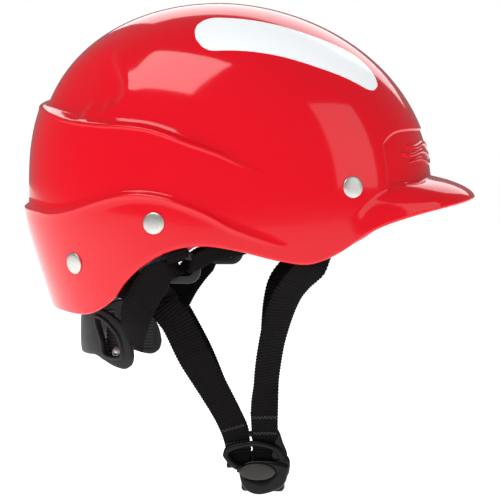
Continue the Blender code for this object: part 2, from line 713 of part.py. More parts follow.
# ---- rivets and anchors -----------------------------------------------------------------------
def make_rivet(name, side, side_name, drilled):
    """A domed rivet through the shell, and its washer behind the webbing."""
    angle, depth = rivet_spot(name, side)
    place = outer_point(angle, depth)
    out = normal_at(outer_point, angle, depth)
    behind = SHELL_WALL + WEB_CLEARANCE + WEB_THICKNESS + WASHER_SET_BACK[name]
    tail = -behind - RIVET_TAIL
    head = [(0, tail), (RIVET_SHANK_RADIUS, tail), (RIVET_SHANK_RADIUS, GAP)]
    head += [(RIVET_RADIUS, GAP), (RIVET_RADIUS, GAP + RIVET_FLANGE)]
    for turn in (math.radians(20), math.radians(55)):
        rise = RIVET_FLANGE + (RIVET_DOME - RIVET_FLANGE) * math.sin(turn)
        head.append((RIVET_RADIUS * math.cos(turn) * 0.96, GAP + rise))
    head.append((0, GAP + RIVET_DOME))
    label = f"{name}_{side_name}"
    finish_object(turned("rivet_" + label, head, place, out), "rivet_metal")
    far = -behind - WASHER_BEHIND_WEB
    ring = [(RIVET_HOLE_RADIUS, far), (WASHER_RADIUS, far)]
    ring += [(WASHER_RADIUS, far - WASHER_THICKNESS), (RIVET_HOLE_RADIUS, far - WASHER_THICKNESS)]
    finish_object(turned("rivet_washer_" + label, ring, place, out), "washer_metal")
    back, front = DRILL_REACH
    bore = [(0, back), (RIVET_HOLE_RADIUS, back), (RIVET_HOLE_RADIUS, front), (0, front)]
    drill = turned("drill_" + label, bore, place, out)
    for obj in drilled:
        cut(obj, drill)


def gap_point(x, z, side, extra=0.0):
    """A point inside the shell, one strap's thickness clear of its inner face, plus extra."""
    plain = side_reach(x, z, 0)
    angle = math.degrees(math.atan2(plain, x - PLAN_CENTRE_X))
    inset = SHELL_WALL + WEB_THICKNESS / 2 + WEB_CLEARANCE + extra - relief(angle, SHELL_TOP - z)
    return (x, side * side_reach(x, z, inset), z)


def wall_normal(x, z, side):
    angle = math.degrees(math.atan2(side_reach(x, z, 0), x - PLAN_CENTRE_X))
    return normal_at(plain_point, side * angle, SHELL_TOP - z)


def rim_direction(x, side):
    """The level direction along the shell's side at one place."""
    ahead = side_reach(x + 1, -120, 4) - side_reach(x - 1, -120, 4)
    return Vector((2, side * ahead, 0)).normalized()


def make_anchors(side, name):
    """Webbing riveted inside the shell, down to where the chin straps and the ring hang."""
    front = ANCHOR_ROUTES["front_" + name]
    rear = ANCHOR_ROUTES["rear_" + name]
    ring = ANCHOR_ROUTES["ring"]
    made = {}
    for label, route in (("front", front), ("rear", rear), ("ring", ring)):
        path = [gap_point(x, z, side, extra) for x, z, extra in route]
        across = []
        for i, (x, z, _) in enumerate(route):
            along = Vector(path[min(i + 1, len(path) - 1)]) - Vector(path[max(i - 1, 0)])
            across.append(along.cross(wall_normal(x, z, side)).normalized())
        made[label] = ribbon(f"{label}_anchor_{name}", path, across, "webbing_black", count=10)
    for rivet, webbing in (("front", "front"), ("middle", "ring"), ("rear", "rear")):
        make_rivet(rivet, side, name, (bpy.data.objects["outer_shell"], made[webbing]))


def make_ring(side, name):
    """The moulded loop that joins the side webbing to the brace webbing."""
    x, z = RING_PLACE
    place = Vector(gap_point(x, z, side, RING_INBOARD))
    along = rim_direction(x, side)
    face = Vector((0, 0, 1)).cross(along).normalized()
    ring = flat_ring("adjuster_ring_" + name, RING_OUTER, RING_HOLE, place, along, face * RING_HALF_DEPTH)
    return finish_object(ring, "hardware_grey", sharp=50)


def flat_ring(name, outer, hole, place, along, half):
    """A closed upright frame between two rounded boxes, half deep on each side of its place."""
    points = []
    for sign in (-1, 1):
        for box in (outer, hole):
            points += [place + along * x + Vector((0, 0, z)) + half * sign for x, z in rounded_box(*box)]
    count = len(points) // 4
    polygons = []
    for k in range(count):
        n = (k + 1) % count
        for a, b in ((0, 1), (1, 3), (3, 2), (2, 0)):
            polygons.append((a * count + k, a * count + n, b * count + n, b * count + k))
    return mesh_object(name, points, polygons)


def make_side_webbing(side, name):
    forward = [gap_point(x, z, side, extra) for x, z, extra in SIDE_STRAP_ROUTE]
    up = Vector((0.25, 0, 1))
    ribbon("side_strap_" + name, forward, [up, up], "webbing_black", count=10)
    back = [(x, side * y, z) for x, y, z in BRACE_STRAP_ROUTE]
    across = [
        (0.6, 0, -0.8), (0.75, 0, -0.65), (0.92, 0, -0.4), (0.9, side * 0.3, -0.2), (0.6, side * 0.75, 0),
    ]
    ribbon("brace_strap_" + name, back, across, "webbing_black", end_width=BRACE_STRAP_END_WIDTH)


# ---- rear brace -------------------------------------------------------------------------------
def brace_point(turn, z, radius):
    a = math.radians(180 - turn)
    return Vector((BRACE_CENTRE_X + radius * math.cos(a), radius * math.sin(a), z))


def brace_patch(name, first, last, top, bottom, radius, wall, columns, rows):
    """A band of constant wall round the nape, between two height curves."""
    outer, inner = [], []
    for r in range(rows + 1):
        outer.append([])
        inner.append([])
        for c in range(columns + 1):
            turn = first + (last - first) * c / columns
            z = top(turn) + (bottom(turn) - top(turn)) * r / rows
            outer[-1].append(brace_point(turn, z, radius))
            inner[-1].append(brace_point(turn, z, radius - wall))
    return slab(name, outer, inner)


def brace_top(turn):
    return through(BRACE_TOP, abs(turn))


def brace_bottom(turn):
    return through(BRACE_BOTTOM, abs(turn))


def make_brace():
    brace = brace_patch(
        "rear_brace", -BRACE_REACH, BRACE_REACH, brace_top, brace_bottom, BRACE_RADIUS, BRACE_WALL, 30, 3,
    )
    for side in (-1, 1):
        rows = []
        for radius in (BRACE_RADIUS + 3, BRACE_RADIUS - 6):
            rows.append([brace_point(side * turn, z, radius) for turn, z in BRACE_WINDOW])
        cut(brace, stacked(f"brace_window_cutter_{side}", rows))
    finish_object(brace, "hardware_grey", "rear_brace", sharp=50)
    high, low = BRACE_PAD_HEIGHTS
    pad = brace_patch(
        "brace_pad", -BRACE_PAD_REACH, BRACE_PAD_REACH, lambda turn: high, lambda turn: low,
        BRACE_RADIUS - BRACE_WALL - GAP, BRACE_PAD_THICKNESS, 10, 1,
    )
    finish_object(pad, "pad_black", "rear_brace")


def make_brace_fittings(side, name):
    """The webbing tab that hangs the brace from the liner, and the stud in its window."""
    turn = side * HANGER_TURN
    top = brace_point(turn, BRACE_AXIS[2], BRACE_RADIUS - 2.2)
    low = brace_point(turn, HANGER_LOW, BRACE_RADIUS - 1.3)
    along = (brace_point(turn + 4, 0, 1) - brace_point(turn - 4, 0, 1)).normalized()
    ribbon(
        "brace_hanger_" + name, [top, (top + low) / 2, low], [along, along], "webbing_black", "rear_brace",
        width=HANGER_WIDTH, count=4,
    )
    place = brace_point(side * STUD_TURN, STUD_HEIGHT, BRACE_RADIUS - 4.5)
    out = (place - Vector((BRACE_CENTRE_X, 0, place.z))).normalized()
    finish_object(turned("brace_stud_" + name, STUD_PROFILE, place, out, 12), "rivet_metal", "rear_brace")
    post = brace_point(side * STUD_TURN, STUD_HEIGHT, BRACE_RADIUS - 5.6)
    strip = [post + Vector((0, 0, dz)) for dz in (-STRIP_HALF_HEIGHT, 0, STRIP_HALF_HEIGHT)]
    across = out.cross(Vector((0, 0, 1)))
    ribbon(
        "brace_strip_" + name, strip, [across, across], "hardware_grey", "rear_brace",
        width=STRIP_WIDTH, count=2, thick=STRIP_THICKNESS,
    )


# ---- buckle, divider and chin harness -----------------------------------------------------------
def button_oval(size, width_share=1.0, height_share=1.0):
    """An oval about the button's centre, as (x, z) pairs."""
    x0, z0 = BUTTON_CENTRE
    return [(x * width_share + x0, z * height_share + z0) for x, z in oval(*size)]


def make_buckle():
    """The strap frame and tongue socket are one moulding; the button slides in its face."""
    place = Vector(BUCKLE_PLACE)
    housing = prism("buckle_housing", FRAME_OUTLINE, FRAME_FACES, place)
    cut(housing, prism("buckle_window_cutter", FRAME_WINDOW, CUTTER_FACES, place))
    cut(housing, prism("buckle_socket_form", SOCKET_OUTLINE, SOCKET_FACES, place), "UNION")
    cut(housing, prism("buckle_guard_form", GUARD_OUTLINE, GUARD_FACES, place), "UNION")
    cut(housing, prism("buckle_pocket_cutter", POCKET_OUTLINE, POCKET_ENDS, place, along_x=True))
    cut(housing, prism("buckle_button_recess", button_oval(BUTTON_RECESS), RECESS_FACES, place))
    finish_object(housing, "hardware_grey", "right_harness", sharp=35)
    rows = []
    for y, width_share, height_share in BUTTON_LEVELS:
        face = button_oval(BUTTON_SIZE, width_share, height_share)
        rows.append([place + Vector((x, y, z)) for x, z in face])
    finish_object(stacked("release_button", rows), "button_grey", "release_button")
    plate = prism("buckle_tongue", TONGUE_OUTLINE, TONGUE_ENDS, place, along_x=True)
    cut(plate, prism("tongue_slot_cutter", TONGUE_SLOT, TONGUE_SLOT_ENDS, place, along_x=True))
    finish_object(plate, "hardware_grey", "chin_web")


def make_divider():
    """The left strap frame: chin straps over its top bar, chin web round its lower bar."""
    place = Vector(DIVIDER_PLACE)
    shoulder = [(x * DIVIDER_NARROWING, z) for x, z in FRAME_OUTLINE[:DIVIDER_SHOULDER]]
    window = [(x * DIVIDER_NARROWING, z) for x, z in FRAME_WINDOW]
    divider = prism("strap_divider", shoulder + list(DIVIDER_FOOT), DIVIDER_FACES, place)
    cut(divider, prism("divider_window_cutter", window, CUTTER_FACES, place))
    cut(divider, prism("divider_slot_cutter", rounded_box(*DIVIDER_SLOT), CUTTER_FACES, place))
    finish_object(divider, "hardware_grey", "left_harness", sharp=35)


def make_chin_straps():
    for name, routes in CHIN_STRAPS.items():
        side = -1 if name == "right" else 1
        for strap, route, across in routes:
            path = [(x, side * y, z) for x, y, z in route]
            ways = [Vector((x, side * y, z)) for x, y, z in across]
            ribbon(
                f"{strap}_strap_{name}", path, ways, "webbing_black", name + "_harness",
                end_width=FRAME_WEB_WIDTH, count=16,
            )


def make_chin_web():
    along = Vector((1, 0, 0))
    ribbon("chin_web", CHIN_WEB_ROUTE, [along, along], "webbing_black", "chin_web", count=CHIN_WEB_STEPS)
    place = spline(CHIN_WEB_ROUTE, CHIN_WEB_STEPS)[KEEPER_STEP]
    half = Vector((0, KEEPER_HALF_DEPTH, 0))
    keeper = flat_ring("strap_keeper", KEEPER_OUTER, KEEPER_HOLE, place, along, half)
    finish_object(keeper, "hardware_grey", "strap_keeper")


# ---- the whole helmet -------------------------------------------------------------------------
def main():
    clear_scene()
    button_place = Vector(BUCKLE_PLACE) + Vector((BUTTON_CENTRE[0], -5, BUTTON_CENTRE[1]))
    body_axis("helmet", (0, 0, 0))
    body_axis("rear_brace", BRACE_AXIS, "helmet")
    for name in ("right", "left"):
        body_axis(name + "_harness", HARNESS_HINGES[name], "helmet")
    body_axis("release_button", button_place, "right_harness")
    body_axis("chin_web", CHIN_WEB_AXIS, "left_harness")
    body_axis("strap_keeper", CHIN_WEB_ROUTE[2], "chin_web")
    make_shell()
    make_liner()
    make_pads()
    for name, side in (("right", -1), ("left", 1)):
        make_decal(name, side)
        make_anchors(side, name)
        make_ring(side, name)
        make_side_webbing(side, name)
        make_brace_fittings(side, name)
    make_brace()
    make_buckle()
    make_divider()
    make_chin_straps()
    make_chin_web()


main()
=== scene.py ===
"""How the whitewater helmet looks: fine shell, liner, pads, webbing, hardware, materials, light and camera.

Lengths are millimetres and angles degrees, as in the helmet's own design, and MM turns them into metres.
+X is forward over the brim, +Y is the wearer's left and +Z is up. "out" means away from the head.
"""

import json
import math

import bmesh
import bpy
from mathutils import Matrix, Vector

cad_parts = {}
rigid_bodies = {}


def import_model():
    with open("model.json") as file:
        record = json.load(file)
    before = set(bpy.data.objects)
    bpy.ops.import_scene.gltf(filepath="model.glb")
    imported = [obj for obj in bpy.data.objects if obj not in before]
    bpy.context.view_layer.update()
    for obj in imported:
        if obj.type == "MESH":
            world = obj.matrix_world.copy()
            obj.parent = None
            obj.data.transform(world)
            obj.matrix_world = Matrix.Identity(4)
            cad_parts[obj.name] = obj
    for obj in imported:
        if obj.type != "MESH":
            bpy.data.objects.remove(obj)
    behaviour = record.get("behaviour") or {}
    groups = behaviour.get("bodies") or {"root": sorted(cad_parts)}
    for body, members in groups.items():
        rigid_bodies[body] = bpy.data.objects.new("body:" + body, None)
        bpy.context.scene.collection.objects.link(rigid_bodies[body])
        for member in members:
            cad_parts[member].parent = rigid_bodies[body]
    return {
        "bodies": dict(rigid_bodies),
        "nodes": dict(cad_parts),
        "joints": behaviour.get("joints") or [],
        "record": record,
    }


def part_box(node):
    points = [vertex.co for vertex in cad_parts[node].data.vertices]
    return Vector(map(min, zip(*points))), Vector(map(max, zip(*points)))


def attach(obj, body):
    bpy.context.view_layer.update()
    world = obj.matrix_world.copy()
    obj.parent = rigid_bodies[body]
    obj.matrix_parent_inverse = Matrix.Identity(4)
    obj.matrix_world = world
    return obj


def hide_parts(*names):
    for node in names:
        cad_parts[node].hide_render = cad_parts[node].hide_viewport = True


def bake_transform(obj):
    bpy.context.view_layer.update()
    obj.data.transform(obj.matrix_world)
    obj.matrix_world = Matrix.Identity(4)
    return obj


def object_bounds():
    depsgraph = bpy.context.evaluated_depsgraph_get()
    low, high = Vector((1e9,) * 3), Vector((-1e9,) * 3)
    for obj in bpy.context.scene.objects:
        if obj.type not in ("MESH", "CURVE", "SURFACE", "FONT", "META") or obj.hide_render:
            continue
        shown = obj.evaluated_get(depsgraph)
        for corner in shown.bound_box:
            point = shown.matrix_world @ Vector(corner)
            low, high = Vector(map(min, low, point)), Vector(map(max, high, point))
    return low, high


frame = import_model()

CAD_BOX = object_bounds()
MM = 0.001
SIDES = (("right", -1), ("left", 1))

# ---- shell form -------------------------------------------------------------------------------
SHELL_TOP = 23.0
PLAN_CENTRE_X = -9.2
PLAN_POWER = 2.08
FRONT_PROFILE = (134.3, 128.2, 2.32, 1.86)
BACK_PROFILE = (116.1, 113.9, 2.49, 2.07)
SIDE_PROFILE = (99.5, 194.0, 4.97, 2.07)
NAPE_TUCK_START = 128.0
NAPE_TUCK_SLOPE = 0.34
NAPE_TUCK_EASE = 12.0
SHELL_WALL = 3.0
RIM = (
    (0, -98.5), (10, -100), (20, -104.5), (29, -111), (34, -116), (43.5, -128.5), (53, -135.5),
    (63, -133.5), (77.5, -127), (88, -124.5), (98, -127), (108, -136.5), (114, -146),
    (119, -156.5), (125, -163.5), (133, -167.5), (150, -167), (180, -165),
)
UPPER_LEDGE = (
    (0, -55), (20, -56), (30, -62), (42, -77), (56, -87), (72, -76), (84, -66.5), (93, -61),
    (100, -56.5), (108, -52.5), (117, -50.7), (126, -50), (138, -48), (155, -42.5), (180, -36),
)
LOWER_LEDGE = (
    (0, -84.5), (14, -87), (24, -89), (31.5, -95.5), (42, -110), (50, -118), (60, -122),
    (67, -119), (79, -111), (87, -103), (95, -97), (101, -93.5), (108, -91.7), (115, -92.3),
    (122, -95), (130, -99.5), (136, -102.5), (144, -104.3), (153, -103), (180, -100.5),
)
UPPER_STEP = 4.6
UPPER_STEP_FADE = (62, 100)
LOWER_STEP = 2.3
LOWER_STEP_FADE = (60, 84)
LEDGE_WIDTH = 3.0
CREST_HEIGHT = 0.55  # a soft bead along the lip of each ledge
CREST_WIDTH = 1.5
BRIM_REACH = 25.5
BRIM_FADE = (7, 41)
BRIM_CURL = 2.1
PANEL_DEPTH = 1.2
PANEL_EDGE = (27, 29)
SCOOP_DEPTH = 4.6
SCOOP_FRONT = (
    (-45, 136), (-42, 126.5), (-38, 120.5), (-31, 119.5), (-21, 124.5), (-12, 130.5), (0, 134),
)
SCOOP_LIP = 5.0
SCOOP_START = 112
SCOOP_BACK = (142, 170)
SCOOP_TOP = (-2, -26)
MOTIF_BANDS = ((-65.5, 17.5), (-70.3, 21.0), (-75.1, 17.5))  # height, and reach in degrees
DECAL_ROUTE = ((-16, 65, 0), (5, 63.5, 0), (29, 60, 0), (53, 54, 0), (73, 45, 0), (91, 34.5, 0))
DECAL_HALF_WIDTH = ((0, 12.9), (0.5, 11.7), (1, 10))

# ---- liner and pads ---------------------------------------------------------------------------
LINER_WALL = 10.0
LINER_CROWN_WALL = 12.6
LINER_GAP_CROWN = 1.0
LINER_GAP_RIM = 5.6
LINER_GAP_BAND = (55, 85)
LINER_ABOVE_RIM = 5.0
LINER_NAPE_LIFT = 6.0
GROOVE_EVERY = 30
PAD_GAP = 1.9
PAD_THICKNESS = 5.4
CROWN_PAD_RADIUS = 26.0
CROWN_PAD_CENTRE_X = -6.0
CROWN_PAD_HEIGHT = 5.2
PUFF_CAP = 1.1
PUFF_FRAMES = 20
PAD_VOXEL = 2.2

# ---- rivets and webbing -----------------------------------------------------------------------
RIVET_RADIUS = 6.5
RIVET_PLACES = {"front": (80.4, -90.1), "middle": (-33.4, -111.1), "rear": (-82.6, -136.4)}
WASHER_SET_BACK = {"front": 0.0, "middle": 0.0, "rear": 1.8}
WEB_WIDTH = 20.0
WEB_THICKNESS = 1.6
WEB_CLEARANCE = 1.65
RIB_PITCH = 2.0
RIB_STEPS = 4
RIB_HEIGHT = 0.24
EDGE_NIB = 0.36
FRAME_WEB_WIDTHS = {"front_right": 15.4, "rear_right": 15.4, "front_left": 15.0, "rear_left": 12.6}
ANCHOR_ROUTES = {
    "front_right": ((84.5, -83, 0), (80.4, -90.1, 0), (70, -109, 0), (60.5, -125, 0), (57.3, -135.4, 0)),
    "front_left": ((84.5, -83, 0), (80.4, -90.1, 0), (64, -111, 0), (49, -126, 0), (43, -135.6, 0)),
    "rear_right": (
        (-87.8, -134, 1.6), (-82.6, -136.4, 1), (-66, -143, 2.5), (-53, -149.5, 8), (-44, -153.5, 12.5),
    ),
    "rear_left": (
        (-87.8, -134, 1.6), (-82.6, -136.4, 1), (-73, -147, 1.6), (-64, -155, 1.6), (-60.4, -161, 1.6),
    ),
    "ring": ((-35, -103, 0), (-33.4, -111.1, 0), (-29.5, -117, 0), (-27, -121, 0), (-26, -123.5, 0)),
}
RING_PLACE = (-20.0, -137.5)
RING_INBOARD = 0.5
SIDE_STRAP_LOOP = (
    (4, -126.1, 3.9), (-4, -130, 3.4), (-11, -134.6, 3.2), (-13.6, -135.6, 0.5), (-11, -134.6, -2.2),
    (-4, -130.5, -1.9), (5, -126, 0.2), (16, -120, 1.8), (27, -115.5, 1.8),
)
BRACE_STRAP_ROUTE = (
    (-21.5, 97, -136.2), (-24, 100.4, -137.2), (-28.5, 103, -139.2), (-34, 100.5, -143.6),
    (-40.5, 94.5, -151.5), (-47, 87.5, -162), (-51, 79.5, -172), (-52.5, 69, -181), (-53, 61, -188),
)
CHIN_STRAPS = {
    "right": (
        ("front",
         ((56, 81.5, -136.8), (52.8, 81.2, -141), (46.6, 79.6, -147.6), (40.8, 77, -156), (34.2, 71.5, -173),
          (29.4, 65.8, -192.5), (25.9, 58.5, -217.5), (24.8, 53.2, -233), (24.7, 49.6, -242), (24.6, 47.4, -248.5),
          (24.5, 47.1, -254), (24.4, 47.1, -260.6)),
         ((0.93, -0.36, 0), (0.8, -0.55, 0), (0.72, -0.69, 0), (0.74, -0.67, 0), (0.98, -0.06, 0), (1, 0, 0))),
        ("rear",
         ((-35.5, 77.5, -157), (-34, 77.2, -161), (-26, 75.8, -171.5), (-16.6, 72, -191.5),
          (-9.8, 67, -204.5), (-2.8, 61.5, -218), (2.6, 56.4, -229.7), (6.1, 51.2, -240.5), (7.5, 47.9, -248),
          (8.1, 47.1, -254), (8.5, 47.1, -260.6)),
         ((0.93, 0.1, 0.3), (0.8, 0.1, 0.55), (0.85, 0.1, 0.5), (0.9, 0, 0.4), (1, 0, 0.1))),
    ),
    "left": (
        ("front",
         ((40, 84, -137), (37, 83.8, -141), (28.6, 83, -147.2), (21.6, 81, -156), (18, 77, -169),
          (16, 70.5, -188), (13.8, 61.5, -217), (12.6, 53.5, -239), (12.5, 50.6, -249), (12.5, 49.9, -254.6)),
         ((0.93, -0.3, 0), (0.7, -0.35, -0.5), (0.85, -0.5, -0.1), (0.8, -0.6, 0), (0.95, -0.2, 0), (1, 0, 0))),
        ("rear",
         ((-60, 89.5, -163.2), (-58.6, 89.3, -166.5), (-48, 84, -182), (-34, 73, -204), (-22, 65, -225),
          (-10, 55.3, -241.8), (-4.8, 51, -250), (-3.2, 49.9, -254.6)),
         ((0.93, 0.1, 0.3), (0.8, 0.1, 0.55), (0.85, 0.1, 0.5), (0.9, 0, 0.4), (1, 0, 0.1))),
    ),
}
WEB_BARS = {"right": (-45.1, -260.6, 2.0), "left": (47.1, -254.6, 2.75)}  # y, z and the web's turning radius
DOUBLED_LENGTH = {"front": 34, "rear": 27}
LAYER_APART = 2.0
RING_BAR_RISE = 7.25
RING_BAR_TURN = 3.3
HARDWARE_SLOT = "hardware_grey"

# ---- buckle, divider and chin web ---------------------------------------------------------------
BUCKLE_PLACE = (20.0, -49.0, -262.0)
DIVIDER_PLACE = (8.0, 47.0, -268.0)
BUTTON_CENTRE = (0.6, -2.9)
FRAME_OUTLINE = (
    (-11, -3), (-20.2, 4.6), (-20.8, 8.4), (-18.6, 12.2), (-11, 14.2), (-2, 15.8), (6, 14.8),
    (13.6, 12.0), (17.5, 8), (20, 4.5), (20.2, 0), (18.9, -5), (14, -5),
)
FRAME_WINDOW = (
    (-10.6, 0.6), (-17.4, 6.4), (-15.6, 9.0), (-10, 10.9), (-1.5, 12.2), (6, 11.2), (11, 9.2),
    (13, 7), (13, 4.2), (8, 3.4), (0, 2.8), (-7, 1.8),
)
SOCKET_OUTLINE = (
    (-10.8, -2), (-10.4, -7), (-8.8, -11.5), (-5, -15.6), (1.5, -17.2), (9.8, -15.2), (16.2, -11.4),
    (18.8, -5), (19.6, 1), (13, 3.4), (6, 4.1), (-1, 4.1), (-7, 2.6),
)
GUARD_OUTLINE = (
    (8.6, 6.5), (10.6, 15), (11.4, 21.0), (12.6, 22.4), (14, 20), (15.6, 15), (18.4, 7), (15, 2), (11, 3),
)
CHIN_WEB_ROUTE = (
    (23.9, -34.7, -275.9), (23.2, -29.5, -275.6), (21.5, -20, -277), (18, -5, -279.2), (14.5, 12, -280.6),
    (11, 29, -281), (9.4, 41, -281.2), (9, 47, -281.2),
)
TONGUE_BAR = (-34.75, -273.1, 2.75)
DIVIDER_BAR = (47.0, -278.45, 2.75)
POCKET_OUTLINE = ((0.0, -0.6), (5.6, -0.6), (5.6, -8.2), (24, -8.2), (24, -24), (0.0, -24))
TONGUE_OUTLINE = ((1.3, -1.6), (4.9, -1.6), (4.9, -9.4), (16, -9.4), (16, -12.6), (1.3, -12.6))
TONGUE_SLOT = ((7.5, -5), (12.5, -5), (12.5, -16), (7.5, -16))

# ---- rear brace -------------------------------------------------------------------------------
BRACE_CENTRE_X = -40.0
BRACE_TURN = 74  # half the arc it covers, in degrees
BRACE_PAD_TURN = 38.5
BRACE_PAD_Z = -183
BRACE_PAD_HALF_HEIGHT = 9.8
HANGER_TURN = 33
STUD_TURN = 58
BRACE_RADIUS = 57.4
BRACE_WALL = 2.6
BRACE_TOP = ((0, -170), (30, -168.5), (42, -166.5), (50, -167), (60, -171), (68, -177.5), (74, -190))
BRACE_BOTTOM = ((0, -196), (30, -196), (42, -196), (50, -198.5), (60, -202), (68, -203), (74, -199.5))
BRACE_AXIS_Z = -157.0
BRACE_WINDOW = (
    (44, -172.5), (52, -173), (60, -178), (65.5, -184.5), (66.8, -195.5), (53.5, -195), (50, -186),
)

# ---- camera, floor and light ----------------------------------------------------------------------
CAMERA_AIM = (9.45, 0, -132)
CAMERA_AZIMUTH = 7
CAMERA_ELEVATION = 3
CAMERA_DISTANCE = 1600
FIELD_WIDTH = 315
SENSOR = 36
FLOOR_DROP = 42
FLOOR_RADIUS = 9000
WORLD_LIGHT = 0.2
FLOOR_GLOW = 0.82
LIGHTS = (
    ("key_softbox", (-0.7, -0.9, 1.5), (1.4, 1.1), 20),
    ("front_fill", (1.7, -0.8, 0.6), (1.0, 1.2), 4),
    ("back_rim", (0.1, 1.5, 0.9), (1.6, 1.0), 9),
)


# ---- small tools ------------------------------------------------------------------------------
def ease(value, start, end):
    """0 before start, 1 after end, and a smooth S between."""
    t = min(max((value - start) / (end - start), 0.0), 1.0)
    return t * t * (3 - 2 * t)


def bell(value, middle, width):
    return math.exp(-(((value - middle) / width) ** 2))


def through(points, at):
    """A smooth curve through (place, value) points, read at one place."""
    if at <= points[0][0]:
        return points[0][1]
    if at >= points[-1][0]:
        return points[-1][1]
    i = max(k for k in range(len(points) - 1) if points[k][0] <= at)

    def slope(k):
        low, high = max(k - 1, 0), min(k + 1, len(points) - 1)
        return (points[high][1] - points[low][1]) / (points[high][0] - points[low][0])

    (x0, y0), (x1, y1) = points[i], points[i + 1]
    span = x1 - x0
    t = (at - x0) / span
    rise = y1 - y0
    m0, m1 = slope(i) * span, slope(i + 1) * span
    return y0 + m0 * t + (3 * rise - 2 * m0 - m1) * t**2 + (m0 + m1 - 2 * rise) * t**3


def spline(points, step):
    """Points about step apart along a smooth curve through given points."""
    places = [0.0]
    for a, b in zip(points, points[1:]):
        places.append(places[-1] + (Vector(b) - Vector(a)).length)
    tracks = [[(s, p[axis]) for s, p in zip(places, points)] for axis in range(3)]
    count = max(2, round(places[-1] / step))
    stops = [places[-1] * i / count for i in range(count + 1)]
    return [Vector([through(track, s) for track in tracks]) for s in stops]


def closed_curve(points, count):
    """count points round a smooth closed curve through 2-D points."""
    size = len(points)
    made = []
    for k in range(count):
        place = size * k / count
        i, t = int(place), place - int(place)
        p0, p1, p2, p3 = (Vector(points[(i + d) % size]) for d in (-1, 0, 1, 2))
        bend = 2 * p1 + (p2 - p0) * t + (2 * p0 - 5 * p1 + 4 * p2 - p3) * t**2
        made.append((bend + (3 * p1 - p0 - 3 * p2 + p3) * t**3) / 2)
    return made


def moved_in(loop, inset):
    """A closed 2-D loop with each point moved inwards; a minus sign moves it out."""
    area = sum(a.x * b.y - b.x * a.y for a, b in zip(loop, loop[1:] + loop[:1]))
    turn = 1 if area > 0 else -1
    made = []
    for k, point in enumerate(loop):
        along = (loop[(k + 1) % len(loop)] - loop[k - 1]).normalized()
        made.append(point + Vector((-along.y, along.x)) * inset * turn)
    return made


def rounded_box(width, height, radius, centre=(0, 0), steps=7):
    points = []
    for turn, (sx, sz) in enumerate(((1, 1), (-1, 1), (-1, -1), (1, -1))):
        cx = centre[0] + sx * (width / 2 - radius)
        cz = centre[1] + sz * (height / 2 - radius)
        for k in range(steps + 1):
            angle = math.radians(90 * turn + 90 * k / steps)
            points.append(Vector((cx + radius * math.cos(angle), cz + radius * math.sin(angle))))
    return points


def oval(width, height, centre=(0, 0), steps=64):
    turns = [math.tau * k / steps for k in range(steps)]
    x, y = centre
    return [Vector((x + width / 2 * math.cos(a), y + height / 2 * math.sin(a))) for a in turns]


def mesh_object(name, points, faces, uvs=None):
    """points are in millimetres; uvs, if given, holds one pair for each point."""
    mesh = bpy.data.meshes.new(name)
    mesh.from_pydata([tuple(Vector(p) * MM) for p in points], [], faces)
    if uvs:
        layer = mesh.uv_layers.new(name="UVMap")
        for loop in mesh.loops:
            layer.data[loop.index].uv = uvs[loop.vertex_index]
    bm = bmesh.new()
    bm.from_mesh(mesh)
    bmesh.ops.recalc_face_normals(bm, faces=bm.faces)
    bm.to_mesh(mesh)
    bm.free()
    obj = bpy.data.objects.new(name, mesh)
    bpy.context.scene.collection.objects.link(obj)
    return obj


def skin(name, rows, caps=True, uvs=None):
    """A surface through matching rows; a row of one point is a pole, and caps close open ends."""
    points, faces, index, flat = [], [], [], []
    columns = max(len(row) for row in rows)
    for r, row in enumerate(rows):
        start = len(points)
        points.extend(row)
        if uvs:
            flat.extend(uvs[r])
        index.append([start] * columns if len(row) == 1 else list(range(start, start + columns)))
    for low, high in zip(index, index[1:]):
        for c in range(columns):
            d = (c + 1) % columns
            face = tuple(dict.fromkeys((low[c], low[d], high[d], high[c])))
            if len(face) > 2:
                faces.append(face)
    for row, line in zip((rows[0], rows[-1]), (index[0], index[-1])):
        if caps and len(row) > 1:
            faces.append(tuple(line))
    return mesh_object(name, points, faces, flat if uvs else None)


def turned(name, profile, place, axis, steps=48):
    """A solid of revolution; profile is (radius, height) pairs, and starts and ends at radius 0."""
    turn = Vector((0, 0, 1)).rotation_difference(Vector(axis)).to_matrix()
    rows = []
    for radius, height in profile:
        count = 1 if radius == 0 else steps
        ring = []
        for k in range(count):
            angle = math.tau * k / steps
            local = Vector((radius * math.cos(angle), radius * math.sin(angle), height))
            ring.append(Vector(place) + turn @ local)
        rows.append(ring)
    return skin(name, rows)


def weld(obj, distance=0.00001):
    bm = bmesh.new()
    bm.from_mesh(obj.data)
    bmesh.ops.remove_doubles(bm, verts=bm.verts, dist=distance)
    bm.to_mesh(obj.data)
    bm.free()


def baked(obj):
    """The object with its modifiers worked into its mesh."""
    bpy.context.view_layer.update()
    graph = bpy.context.evaluated_depsgraph_get()
    mesh = bpy.data.meshes.new_from_object(obj.evaluated_get(graph))
    obj.modifiers.clear()
    obj.data = mesh
    return obj


def cut_out(target, other):
    """Cuts other out of target, and removes other."""
    step = target.modifiers.new("cut", "BOOLEAN")
    step.operation = "DIFFERENCE"
    step.object = other
    baked(target)
    bpy.data.objects.remove(other, do_unlink=True)
    return target


def finish_piece(obj, look, body, replaces=(), sharp=38):
    obj.data.materials.clear()
    obj.data.materials.append(look)
    if obj.type == "MESH":
        obj.data.shade_smooth()
        obj.data.set_sharp_from_angle(angle=math.radians(sharp))
    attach(obj, body)
    if replaces:
        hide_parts(*replaces)
    return obj


